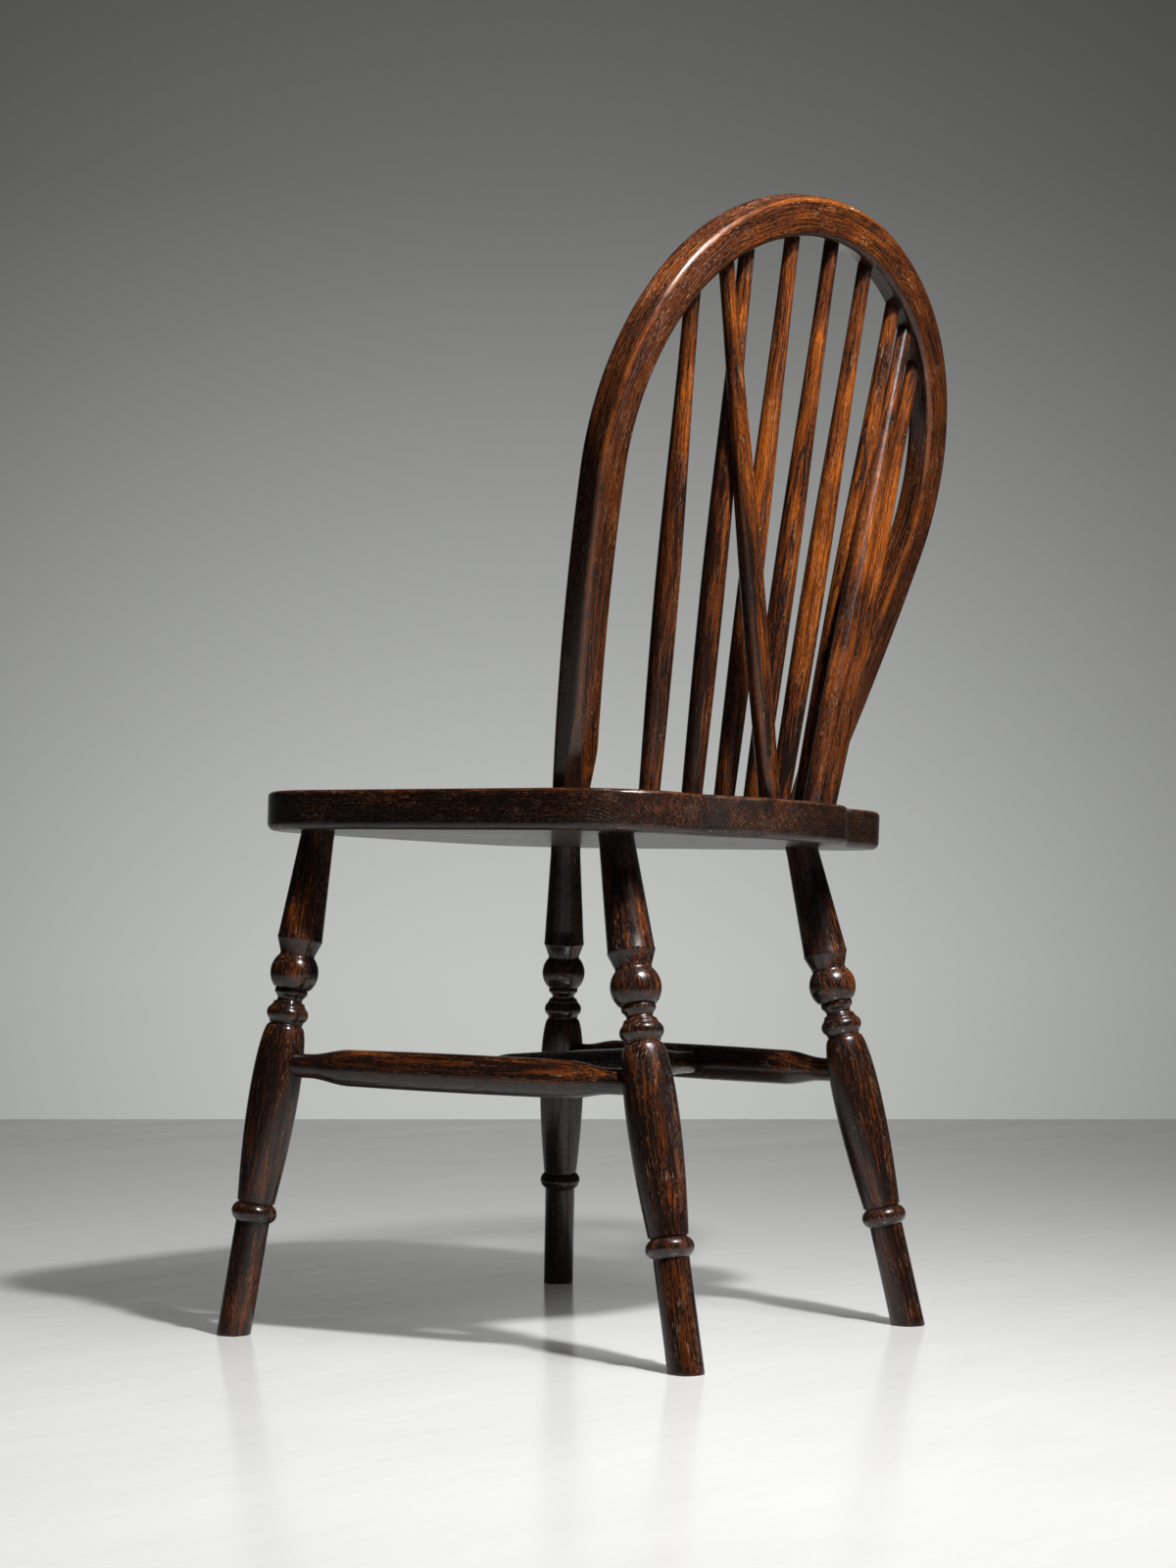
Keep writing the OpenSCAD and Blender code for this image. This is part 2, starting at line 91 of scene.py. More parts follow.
class ChairSeat(PropertyGroup):
    height: length("Height", "Height of the seat's top above the floor, at its middle", 0.453)
    tilt: angle("Tilt", "Backward slope of the seat", 2.1)
    thickness: length("Thickness", "Thickness of the seat boards", 0.033)
    front_width: length("Front width", "Width of the seat at its front corners", 0.414)
    rear_width: length("Rear width", "Width of the seat at its rear corners", 0.424)
    front: length("Front", "From the seat's middle to its front edge", 0.250)
    back: length("Back", "From the seat's middle to its rear edge, beside the tail", 0.190)
    front_bow: length("Front bow", "How far the front edge bows out", 0.009)
    front_corner: length("Front corner", "Rounding of the front corners", 0.096)
    rear_corner: length("Rear corner", "Rounding of the rear corners", 0.070)
    tail_length: length("Tail length", "How far the tail stands out", 0.034)
    tail_width: length("Tail width", "Width of the tail at its end", 0.124)
    tail_root_width: length("Tail root", "Width of the tail where it leaves the rear edge", 0.224)
    tail_bow: length("Tail bow", "How far the tail's end bows out", 0.008)
    tail_corner: length("Tail corner", "Rounding of the tail's corners", 0.024)
    tail_root: length("Tail root rounding", "Hollow rounding beside the tail", 0.030)
    top_rim: length("Top rim", "Rounding of the rim of the seat's top", 0.0042)
    low_rim: length("Low rim", "Rounding of the rim of its underside", 0.0064)
    seam: length("Seam", "From the middle line to each glue line", 0.109)
    dish_depth: length("Hollow depth", "Depth of the hollow in the seat's top", 0.006)
    dish_radius: length("Hollow radius", "Radius of the hollow's rim", 0.140)
    dish_y: length("Hollow place", "From the seat's middle to the hollow's", -0.050)
    dowel: length("Dowel", "Diameter of the dowels between the boards", 0.009)
    dowel_length: length("Dowel length", "Length of those dowels", 0.050)


class ChairLegs(PropertyGroup):
    front_feet: length("Front feet", "Distance between the front feet", 0.450)
    rear_feet: length("Rear feet", "Distance between the rear feet", 0.338)
    feet_depth: length("Feet depth", "From the front feet to the rear feet", 0.426)
    front_tops: length("Front tops", "Distance between the front legs' tops", 0.346)
    rear_tops: length("Rear tops", "Distance between the rear legs' tops", 0.276)
    front_tops_y: length("Front tops back", "From the seat's middle to the front tops", 0.163)
    rear_tops_y: length("Rear tops back", "From the seat's middle to the rear tops", 0.125)
    foot: length("Foot", "Diameter of the leg's straight foot", 0.0285)
    low_ring: length("Low ring", "Diameter of the ring above the foot", 0.0385)
    swell: length("Swell", "Largest diameter of the leg's long swell", 0.042)
    high_ring: length("High ring", "Diameter of the ring above the swell", 0.0354)
    neck: length("Neck", "Diameter of the neck below the ball", 0.021)
    ball: length("Ball", "Diameter of the ball", 0.0408)
    flare: length("Flare", "Diameter of the flare above the ball", 0.0384)
    top: length("Top", "Diameter of the leg's top", 0.0284)
    collar: length("Collar", "Diameter of the collar under the ball", 0.0276)
    turning_up: length("Front turning up", "How much higher a front leg's turning stands", 0.0026)
    socket: length("Socket", "How deep a leg goes into the seat", 0.024)


class ChairStretchers(PropertyGroup):
    up: length("Height up the leg", "Along a rear leg from its foot to the stretcher", 0.225)
    end: length("Ends", "Diameter of a stretcher's ends", 0.0204)
    side: length("Side swell", "Diameter of a side stretcher's swell", 0.0318)
    cross: length("Cross swell", "Diameter of the cross stretcher's swell", 0.030)


class ChairHoop(PropertyGroup):
    lean: angle("Lean", "Backward lean of the hoop", 17.05)
    rise: length("Rise", "Up the slope from the seat to the crown", 0.4945)
    back: length("Back", "From the seat's middle to the hoop's rear face", 0.117)
    crown: length("Crown", "Outer radius of the crown", 0.271)
    crown_angle: angle("Crown angle", "Angle of the crown to each side", 34)
    shoulder: length("Shoulder", "Outer radius of the shoulders", 0.210)
    shoulder_angle: angle("Shoulder angle", "Angle of each shoulder", 65.5)
    limb: length("Limb", "Outer radius of the bowed limbs", 1.8)
    width: length("Width", "Width of the hoop, seen from behind", 0.031)
    thickness: length("Thickness", "Thickness of the hoop, front to back", 0.025)
    rounding: length("Rounding", "Rounding of the hoop's long edges", 0.006)
    shave: length("Shave", "How much a limb's foot is shaved inside", 0.012)
    shave_length: length("Shave length", "Length of that shaved stretch", 0.050)
    chamfer: length("Chamfer", "Depth of the flat on the rear outer edge, at the seat", 0.0030)
    chamfer_length: length("Chamfer length", "How far that flat runs up a limb", 0.060)
    tenon: length("Tenon", "Diameter of the tenon below a limb", 0.017)
    socket: length("Socket", "Depth of that tenon in the seat", 0.024)


class ChairSticks(PropertyGroup):
    pitch: length("Pitch", "Across the hoop from one stick's top to the next", 0.0558)
    foot_pitch: length("Foot pitch", "Across the seat between the inner feet", 0.0414)
    outer_foot: length("Outer foot", "From the middle line to an outer stick's foot", 0.132)
    foot_y: length("Foot back", "From the seat's middle to the centre stick's foot", 0.163)
    foot_drop: length("Foot arc", "How far forward the outer sticks stand", 0.011)
    top: length("Top", "Diameter of a stick at its top", 0.0124)
    swell: length("Swell", "Largest diameter of a stick", 0.0196)
    foot: length("Foot", "Diameter of a stick at the seat", 0.017)
    tenon: length("Tenon", "Diameter of a stick's tenon", 0.012)
    socket: length("Socket", "Depth of that tenon", 0.020)
    top_socket: length("Top socket", "Depth of the holes in the hoop", 0.015)
    hole_depth: length("Hole place", "From the hoop's rear face to the sticks' holes", 0.0145)
    brace_y: length("Brace back", "From the seat's middle to the braces' feet", 0.201)
    brace_feet: length("Brace feet", "Distance between the braces' feet", 0.067)
    brace_tops: length("Brace tops", "Distance between the braces' tops", 0.274)
    brace_hole_depth: length("Brace hole place", "From the rear face to the braces' holes", 0.013)


class ChairFinish(PropertyGroup):
    dark: colour("Dark stain", "Colour of the darkest streaks", (0.014, 0.006, 0.004))
    brown: colour("Brown stain", "Colour of most of the stained oak", (0.120, 0.029, 0.006))
    amber: colour("Amber", "Colour of the oak where the stain is thin", (0.430, 0.110, 0.010))
    # The pale pore colour stands for wax and dust, and is also a painted glint off the pores' edges
    filler: colour("Pore filler", "Colour of wax and dust in the open pores", (0.380, 0.210, 0.110))
    bare: colour("Bare wood", "Colour of chips and bare arrises", (0.640, 0.430, 0.260))
    dowel: colour("Dowel wood", "Colour of the hidden dowels", (0.520, 0.350, 0.190))
    ring: length("Growth ring", "Width of a growth ring", 0.0022)
    gloss: share("Gloss", "Weight of the varnish", 0.30)


class ChairStage(PropertyGroup):
    azimuth: angle("Azimuth", "Direction from which the camera looks", 126.9)
    height: length("Camera height", "Height of the camera above the floor", 0.306)
    distance: length("Camera distance", "From the chair's middle to the camera", 2.213)
    sideways: length("Camera sideways", "How far the camera stands to the left", 0.006)
    lens: amount("Lens", "Focal length on a 36 mm sensor, mm", 58.725)
    shift: amount("Shift", "Upward shift of the lens", 0.12)
    floor: colour("Floor", "Colour of the floor", (0.90, 0.90, 0.88))
    floor_bounce: colour("Floor bounce", "Colour that the floor throws up", (0.085, 0.085, 0.082))
    floor_lift: amount("Floor lift", "How much paler the floor looks", 1.22)
    floor_haze: share("Floor haze", "Light that the floor keeps in its shadows", 0.03)
    wall_low: colour("Wall low", "Colour of the wall at the floor", (0.520, 0.530, 0.508))
    wall_middle: colour("Wall middle", "Colour of the wall half-way up", (0.410, 0.416, 0.404))
    wall_high: colour("Wall high", "Colour of the wall high up", (0.305, 0.307, 0.300))
    pool: amount("Pool", "Tightness of the light on the wall", 17.3)
    room: share("Room", "Brightness of the room beside the lit wall", 0.045)
    sky: share("Sky", "Strength of the light from all round", 0.018)
    reach: length("Floor reach", "From the chair's middle to the floor's edge", 3.11)
    spot_power: power("Spot", "Power of the small key light", 36)
    spot_size: length("Spot size", "Side of the small key light", 0.12)
    box_power: power("Soft box", "Power of the wide key light", 13)
    box_size: length("Soft box size", "Side of the wide key light", 0.66)
    gleam_power: power("Gleam", "Power of what only gloss shows of it", 50)
    fill_power: power("Fill", "Power of the far fill light", 26)
    fill_size: length("Fill size", "Side of the far fill light", 1.6)


def seat_sizes():
    return bpy.context.scene.chair_seat


def leg_sizes():
    return bpy.context.scene.chair_legs


def hoop_sizes():
    return bpy.context.scene.chair_hoop


def stick_sizes():
    return bpy.context.scene.chair_sticks


# ---- Places, worked out as the frame's are ----

def hoop_matrix():
    """From the hoop's plane (across, up the slope, forward of its rear face) to the chair."""
    hoop = hoop_sizes()
    base = seat_matrix() @ Vector((0, hoop.back, 0))
    return Matrix.Translation(base) @ Matrix.Rotation(math.pi / 2 - hoop.lean, 4, "X")


def footprint_middle():
    """Where the middle of the whole chair lies, measured from the seat's middle."""
    seat, hoop = seat_sizes(), hoop_sizes()
    base_y = hoop.back * math.cos(seat.tilt)
    rear = (base_y + (hoop.rise - hoop.rounding) * math.sin(hoop.lean)
            - hoop.rounding * math.cos(hoop.lean) + hoop.rounding)
    front = -seat.front * math.cos(seat.tilt) - seat.thickness * math.sin(seat.tilt)
    return (rear + front) / 2


def chair_matrix():
    return Matrix.Translation((0, -footprint_middle(), 0))


def seat_matrix():
    seat = seat_sizes()
    return (chair_matrix() @ Matrix.Translation((0, 0, seat.height))
            @ Matrix.Rotation(-seat.tilt, 4, "X"))


def along(start, end):
    """Turns a piece made along +Z from the origin onto the line from start to end."""
    way = end - start
    turn = (Matrix.Rotation(math.atan2(way.y, way.x), 4, "Z")
            @ Matrix.Rotation(way.angle(Vector((0, 0, 1))), 4, "Y"))
    return Matrix.Translation(start) @ turn


def leg_line(front, side):
    """Foot and top of a leg, on the floor and under the seat."""
    legs = leg_sizes()
    if front:
        feet, foot_y = legs.front_feet, -legs.feet_depth / 2
        tops, top_y = legs.front_tops, -legs.front_tops_y
    else:
        feet, foot_y = legs.rear_feet, legs.feet_depth / 2
        tops, top_y = legs.rear_tops, legs.rear_tops_y
    foot = chair_matrix() @ Vector((side * feet / 2, foot_y, 0))
    top = seat_matrix() @ Vector((side * tops / 2, top_y, -seat_sizes().thickness))
    return foot, top


def leg_extra(front):
    """How much longer the foot of a front leg is, because all legs are turned alike."""
    if not front:
        return 0.0
    long_foot, long_top = leg_line(True, 1)
    foot, top = leg_line(False, 1)
    return (long_top - long_foot).length - (top - foot).length


def leg_joint(front, side):
    """Where the side stretcher meets a leg's axis."""
    foot, top = leg_line(front, side)
    up = bpy.context.scene.chair_stretchers.up + leg_extra(front)
    return foot + (top - foot).normalized() * up


def arc_centres():
    """Centres of the crown, the left shoulder and the left limb, in the hoop's plane."""
    hoop = hoop_sizes()
    crown = Vector((0, hoop.rise - hoop.crown))
    out = Vector((math.sin(hoop.crown_angle), math.cos(hoop.crown_angle)))
    shoulder = crown + (hoop.crown - hoop.shoulder) * out
    end = limb_start()
    limb = shoulder + (hoop.shoulder - hoop.limb) * Vector((math.cos(end), math.sin(end)))
    return crown, shoulder, limb


def limb_start():
    """Angle, from straight out, at which a shoulder ends and its limb starts."""
    hoop = hoop_sizes()
    return math.pi / 2 - hoop.crown_angle - hoop.shoulder_angle


def inner_edge(x):
    """Height up the slope of the hoop's inner edge, at x from the middle line."""
    hoop = hoop_sizes()
    crown, shoulder, _ = arc_centres()
    crown_inner = hoop.crown - hoop.width
    if abs(x) < crown_inner * math.sin(hoop.crown_angle):
        return crown.y + math.sqrt(crown_inner ** 2 - x ** 2)
    return shoulder.y + math.sqrt((hoop.shoulder - hoop.width) ** 2 - (abs(x) - shoulder.x) ** 2)


def hoop_hole(x, depth):
    return hoop_matrix() @ Vector((x, inner_edge(x), depth))


def stick_line(number):
    """Foot and top of a stick; 1 is at the sitter's left and 4 in the middle."""
    sticks = stick_sizes()
    place = 4 - number
    foot_x = sticks.foot_pitch * place
    if abs(place) == 3:
        foot_x = math.copysign(sticks.outer_foot, place)
    foot_y = sticks.foot_y - sticks.foot_drop * (foot_x / sticks.outer_foot) ** 2
    foot = seat_matrix() @ Vector((foot_x, foot_y, 0))
    return foot, hoop_hole(sticks.pitch * place, sticks.hole_depth)


def brace_line(side):
    sticks = stick_sizes()
    foot = seat_matrix() @ Vector((side * sticks.brace_feet / 2, sticks.brace_y, 0))
    return foot, hoop_hole(side * sticks.brace_tops / 2, sticks.brace_hole_depth)


# ---- Shader maths ----

def math_node(operation):
    """The method behind an operator, which adds its Math node."""
    return lambda self, other: self.maths(operation, self, other)


class Value:
    """Wraps a socket, so that sums and products of values add their Math nodes."""
    __add__ = __radd__ = math_node("ADD")
    __mul__ = __rmul__ = math_node("MULTIPLY")
    __sub__ = math_node("SUBTRACT")
    __truediv__ = math_node("DIVIDE")
    __pow__ = math_node("POWER")

    def __init__(self, sheet, socket):
        self.sheet, self.socket = sheet, socket

    def __rsub__(self, other):
        return self.maths("SUBTRACT", other, self)

    def maths(self, operation, *values):
        return self.sheet.node("ShaderNodeMath", {"operation": operation}, dict(enumerate(values)))

    def fraction(self):
        return self.maths("FRACT", self)

    def swing(self, width):
        """A noise's value, which lies about a half, moved about 0 and made wider or narrower."""
        return (self - 0.5) * width

    def beside(self, key):
        """Another output of the same node."""
        return Value(self.sheet, Sheet.find(self.socket.node.outputs, key))

    def clamp(self):
        return self.maths("MINIMUM", self.maths("MAXIMUM", self, 0.0), 1.0)


class Sheet:
    """The nodes of one material or world."""

    def __init__(self, owner):
        owner.use_nodes = True
        self.nodes, self.links = owner.node_tree.nodes, owner.node_tree.links
        self.nodes.clear()

    def node(self, kind, settings=None, inputs=None, output=0):
        """Adds a node. Its settings come first, then the values or links of its sockets,
        and the result is one of its outputs."""
        made = self.nodes.new(kind)
        for key, value in (settings or {}).items():
            if key == "stops":
                self.set_stops(made.color_ramp, value)
            else:
                setattr(made, key, value)
        for key, value in (inputs or {}).items():
            socket = self.find(made.inputs, key)
            if isinstance(value, Value):
                self.links.new(value.socket, socket)
            else:
                socket.default_value = value
        return None if output is None else Value(self, self.find(made.outputs, output))

    @staticmethod
    def find(sockets, key):
        if isinstance(key, int):
            return sockets[key]
        return next(s for s in sockets if key in (s.identifier, s.name))

    @staticmethod
    def set_stops(ramp, stops):
        while len(ramp.elements) < len(stops):
            ramp.elements.new(1.0)
        for element, (place, tone) in zip(ramp.elements, stops):
            element.position, element.color = place, (*tone, 1.0)

    def mix(self, factor, a, b):
        """One colour turning into another as the factor goes from 0 to 1."""
        return self.node("ShaderNodeMix", {"data_type": "RGBA"},
                         {"Factor_Float": factor, "A_Color": a, "B_Color": b}, "Result_Color")

    def shade(self, tone, value):
        """A colour made lighter or darker by a value."""
        grey = self.node("ShaderNodeCombineColor", None, {0: value, 1: value, 2: value})
        return self.node("ShaderNodeMix", {"data_type": "RGBA", "blend_type": "MULTIPLY"},
                         {"Factor_Float": 1.0, "A_Color": tone, "B_Color": grey}, "Result_Color")

    def stretch(self, vector, scale):
        """A vector with each of its parts scaled."""
        return self.node("ShaderNodeVectorMath", {"operation": "MULTIPLY"}, {0: vector, 1: scale})

    def bump(self, height, strength, depth):
        return self.node("ShaderNodeBump", None,
                         {"Strength": strength, "Distance": depth, "Height": height}, "Normal")

    def end(self, surface, kind="ShaderNodeOutputMaterial"):
        self.node(kind, None, {"Surface": surface}, None)

    def noise(self, vector, scales, detail=2.0, rough=0.5):
        """Noise that repeats so many times in a metre along x, y and z."""
        return self.node("ShaderNodeTexNoise", {"noise_dimensions": "3D"}, {
            "Vector": self.stretch(vector, scales), "Scale": 1.0, "Detail": detail,
            "Roughness": rough})

    def step(self, value, low, high):
        """0 below low, 1 above high and smooth between them."""
        return self.node("ShaderNodeMapRange", {"interpolation_type": "SMOOTHSTEP"},
                         {"Value": value, "From Min": low, "From Max": high})

    def attribute(self, name, output="Fac"):
        return self.node("ShaderNodeAttribute", {"attribute_name": name}, None, output)


def rgba(tone):
    return (*tone, 1.0)


def oak(name, warmth, wear, filled, pith, wave=0.016, contrast=1.0):
    """Stained and varnished oak, whose grain runs along z of the piece's grain attribute.

    warmth is how much of it shows amber, wear how rubbed its edges are, filled how pale its
    pores are, pith where the tree's middle lies from the piece's own, wave how far the growth
    rings wander, and contrast how far the stain differs from streak to streak.
    """
    finish = bpy.context.scene.chair_finish
    dark, brown, amber, filler, bare_wood = (rgba(tone) for tone in (
        finish.dark, finish.brown, finish.amber, finish.filler, finish.bare))
    material = bpy.data.materials.new(name)
    sheet = Sheet(material)
    straight = sheet.attribute("grain", "Vector")
    edge, grime, handled = (sheet.attribute(key) for key in ("edge", "grime", "handled"))
    # The fibres run a little askew, and waver
    sway = sheet.stretch(sheet.noise(straight, (40, 40, 14)).beside("Color"), (0.006, 0.006, 0))
    grain = sheet.node("ShaderNodeVectorMath", {"operation": "ADD"}, {0: straight, 1: sway})

    def figure(across, along, detail=2.0, rough=0.5):
        """Noise that repeats so many times in a metre, across the grain and along it."""
        return sheet.noise(grain, (across, across, along), detail, rough)

    # Growth rings round the pith, bent by a slow wander of the trunk
    wander, spread = figure(8, 2.4), figure(38, 7)
    across_x = sheet.node("ShaderNodeSeparateXYZ", None, {0: grain}, "X")
    out_x, out_y = across_x - pith[0], across_x.beside("Y") - pith[1]
    radius = (out_x * out_x + out_y * out_y) ** 0.5
    rings = (radius + wander.swing(wave) + spread.swing(0.004)) / finish.ring
    early = (1 - rings.fraction()) ** 2.6

    # Open pores: short dashes along the grain, crowded in the early wood
    pore_scales, pore_share, soft = (1500, 1500, 170), 0.12, 0.14
    cells = sheet.node("ShaderNodeTexVoronoi", {"feature": "F1"},
                       {"Vector": sheet.stretch(grain, pore_scales), "Scale": 1.0,
                        "Randomness": 1.0}, "Distance")
    crowd = figure(300, 40, 1.0).swing(0.50)
    pores = sheet.step(early * 0.46 + crowd + pore_share - cells, 0.0, soft)

    # Fibres, rays and slow changes of the stain
    fibres, streaks = figure(950, 24, 3.0, 0.6), figure(260, 14, 3.0, 0.65)
    stain, blotches = figure(45, 12, 4.0, 0.6), figure(90, 40, 4.0, 0.6)
    flecks = figure(1300, 260, 1.0)
    patches = stain.swing(1.7) + streaks.swing(1.5)
    tone = (warmth + handled + patches * contrast + fibres.swing(1.1) + flecks.swing(0.9)
            - early * 0.40)
    dark_to_brown, brown_to_amber = (0.0, 0.42), (0.38, 1.0)
    base = sheet.mix(sheet.step(tone, *dark_to_brown), dark, brown)
    base = sheet.mix(sheet.step(tone, *brown_to_amber), base, amber)
    base = sheet.shade(base, 0.72 + fibres * 0.56)

    # Pores hold dark grime in places, and in others a pale colour for wax and dust that also paints
    # the glints off their edges
    wax_from = 0.66 - 0.35 * filled
    wax_soft, pore_shade, pore_cover = 0.18, 0.22, 0.85
    dusty = sheet.step(blotches + stain.swing(0.8) + fibres.swing(0.5), wax_from,
                       wax_from + wax_soft)
    in_pore = sheet.mix(dusty, sheet.shade(base, pore_shade), filler)
    base = sheet.mix(pores * pore_cover, base, in_pore)

    # Edges rubbed to amber, with a few chips down to bare wood, and the wood darkened by dirt and
    # by painted shade in hollows, on the seat's underside and where pieces meet
    rub_from, rub_soft = 0.75 - 0.30 * wear, 0.40
    chip_from, chip_to = 1.15, 1.19
    rubbed = sheet.step(edge + blotches.swing(1.3), rub_from, rub_from + rub_soft)
    base = sheet.mix(rubbed * (0.15 + 0.60 * wear), base, amber)
    bare = sheet.step(edge * (0.35 + 0.25 * wear) + figure(330, 170, 4.0, 0.75), chip_from, chip_to)
    base = sheet.mix(bare * 0.9, base, bare_wood)
    base = sheet.shade(base, 1 - grime * 0.8)

    # Varnish that fills the pores in part, and wears off where the wood is bare, and where dirt and
    # painted shade lie
    dents = figure(120, 60, 3.0, 0.6)
    relief = dents * 0.5 + fibres * 0.14 - pores * 0.5 - early * 0.10 - bare * 0.6
    rough = 0.21 + pores * 0.20 + blotches.swing(0.14) + bare * 0.3 + grime * 0.2
    coat = finish.gloss * (1 - pores * 0.5) * (1 - bare * 0.9) * (1 - grime * 0.5)
    sheet.end(sheet.node("ShaderNodeBsdfPrincipled", None, {
        "Base Color": base, "Roughness": rough.clamp(), "Normal": sheet.bump(relief, 0.6, 0.0009),
        "Coat Weight": coat.clamp(), "Coat Roughness": 0.12, "Coat IOR": 1.45,
        "IOR": 1.5, "Specular IOR Level": 0.35}))
    return material


def plain_wood(name, tone):
    """Unstained dowel wood, with fine fibres along its grain."""
    material = bpy.data.materials.new(name)
    sheet = Sheet(material)
    grain = sheet.attribute("grain", "Vector")
    fibres = sheet.noise(grain, (700, 700, 30), 3.0, 0.6)
    sheet.end(sheet.node("ShaderNodeBsdfPrincipled", None, {
        "Base Color": sheet.shade(rgba(tone), 0.7 + fibres * 0.5),
        "Roughness": 0.6 + fibres * 0.2, "Normal": sheet.bump(fibres, 0.3, 0.0004)}))
    return material


# ---- Meshes ----

def unit(number):
    """The number, kept between 0 and 1."""
    return min(max(number, 0.0), 1.0)


def add_object(name, data):
    made = bpy.data.objects.new(name, data)
    bpy.context.scene.collection.objects.link(made)
    return made


def verts_of(geom):
    return [v for v in geom if isinstance(v, bmesh.types.BMVert)]


def cut(bm, point, normal, geom=None, drop=True, near=1e-7):
    """Cuts with a plane, drops what lies beyond it, and returns the edges in the plane."""
    made = bmesh.ops.bisect_plane(bm, geom=geom or bm.verts[:] + bm.edges[:] + bm.faces[:],
                                  dist=near, plane_co=point, plane_no=normal, clear_outer=drop)
    return [e for e in made["geom_cut"] if isinstance(e, bmesh.types.BMEdge)]


def round_edges(bm, edges, offset, segments):
    bmesh.ops.bevel(bm, geom=edges, offset=offset, offset_type="OFFSET", segments=segments,
                    profile=0.5, affect="EDGES", material=-1)


class Piece:
    """A bmesh whose vertices carry their grain coordinates, their dirt and painted shade, their
    wear and a band of paler amber.
    """

    def __init__(self):
        self.bm = bmesh.new()
        self.grain = self.bm.verts.layers.float_vector.new("grain")
        self.edge = self.bm.verts.layers.float.new("edge")
        self.grime = self.bm.verts.layers.float.new("grime")
        self.handled = self.bm.verts.layers.float.new("handled")

    def mark_grain(self, verts, offset, turn=None):
        """Takes the grain from where the vertices are now, shifted to its own stretch of tree."""
        for v in verts:
            v[self.grain] = (turn @ v.co if turn else v.co) + offset

    def mark_edges(self, sharpness):
        """Edge is 1 where the surface turns outwards within a millimetre or two, and hollows
        get dirt and painted shade."""
        smallest, hollow_grime = 1e-9, 0.8
        self.bm.normal_update()
        for v in self.bm.verts:
            bend = 0.0
            for e in v.link_edges:
                away = v.co - e.other_vert(v).co
                bend += v.normal.dot(away) / max(away.length_squared, smallest)
            bend *= sharpness / max(len(v.link_edges), 1)
            v[self.edge] = unit(bend)
            # Hollows, such as a turning's necks, are darkened with dirt and painted shade
            v[self.grime] = max(v[self.grime], unit(-bend * hollow_grime))

    def mark_rounding(self):
        """Edge is 1 half-way round an edge between a face square to z and one along it."""
        self.bm.normal_update()
        for v in self.bm.verts:
            level = abs(v.normal.z)
            v[self.edge] = 2 * level * math.sqrt(max(0.0, 1 - level ** 2))

    def finish(self, name, material, slot, nodes, flat=40):
        """Makes the object, which rides on the frame and stands for its nodes."""
        mesh = bpy.data.meshes.new(name)
        self.bm.to_mesh(mesh)
        self.bm.free()
        mesh.shade_smooth()
        mesh.set_sharp_from_angle(angle=math.radians(flat))
        piece = add_object(name, mesh)
        mesh.materials.append(material)
        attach(piece, "root")
        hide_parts(*nodes)
        return piece


def add_turning(piece, profile, place, offset, around=48):
    """Spins a profile of (radius, height) points about +Z, then puts it in place."""
    bm = piece.bm
    verts = [bm.verts.new((r, 0, z)) for r, z in profile]
    edges = [bm.edges.new(pair) for pair in zip(verts, verts[1:])]
    bmesh.ops.spin(bm, geom=verts + edges, cent=(0, 0, 0), axis=(0, 0, 1), angle=2 * math.pi,
                   steps=around, use_merge=True)
    new = [v for v in bm.verts if v[piece.grain].length_squared == 0]
    bmesh.ops.remove_doubles(bm, verts=new, dist=1e-6)
    new = [v for v in new if v.is_valid]
    faces = list({f for v in new for f in v.link_faces})
    bmesh.ops.recalc_face_normals(bm, faces=faces)
    piece.mark_grain(new, offset)
    bmesh.ops.transform(bm, matrix=place, verts=new)
    return new


def show(place, aside=0.0):
    """Turns a piece about its own axis so that its +X looks to the chair's rear left."""
    rear_left = Vector((0.80, 0.60, 0))
    outwards = place.to_3x3().transposed() @ rear_left
    return place @ Matrix.Rotation(math.atan2(outwards.y, outwards.x) + aside, 4, "Z")


def tree_offset(number):
    """A different stretch of tree for each piece, far from the last one."""
    first, apart = 0.5, 0.83
    return Vector((0, 0, first + apart * number))


def beside_pith(least, number):
    """Where the tree's middle lies from a turned piece, which varies from piece to piece."""
    further = 0.006
    return (least + further * (number % 3), 0.0)


def curve(points, steps=4):
    """A smooth run of (radius, height) points through the given ones."""
    out = []
    ends = [points[0], *points, points[-1]]
    for around in zip(ends, ends[1:], ends[2:], ends[3:]):
        for t in (k / steps for k in range(steps)):
            out.append(tuple(
                0.5 * (2 * b + (c - a) * t + (2 * a - 5 * b + 4 * c - d) * t ** 2
                       + (3 * b - a - 3 * c + d) * t ** 3) for a, b, c, d in zip(*around)))
    return out + [points[-1]]


def bead(at, across, high, root):
    """A rounded ring between two points of the turning."""
    steps = 10
    turns = [math.pi * k / steps for k in range(steps + 1)]
    return [(max((across - high) / 2 + high / 2 * math.sin(turn), root / 2),
             at - high / 2 * math.cos(turn)) for turn in turns]


# ---- Seat ----

def seat_outline():
    """The seat's corners, anticlockwise from above, each with its rounding."""
    seat = seat_sizes()
    half = [
        ((seat.front_width / 2, -seat.front + seat.front_bow), seat.front_corner),
        ((seat.rear_width / 2, seat.back), seat.rear_corner),
        ((seat.tail_root_width / 2, seat.back), seat.tail_root),
        ((seat.tail_width / 2, seat.back + seat.tail_length - seat.tail_bow), seat.tail_corner),
    ]
    mirrored = [((-x, y), r) for (x, y), r in reversed(half)]
    return ([((0, -seat.front), 0)] + half + [((0, seat.back + seat.tail_length), 0)] + mirrored)


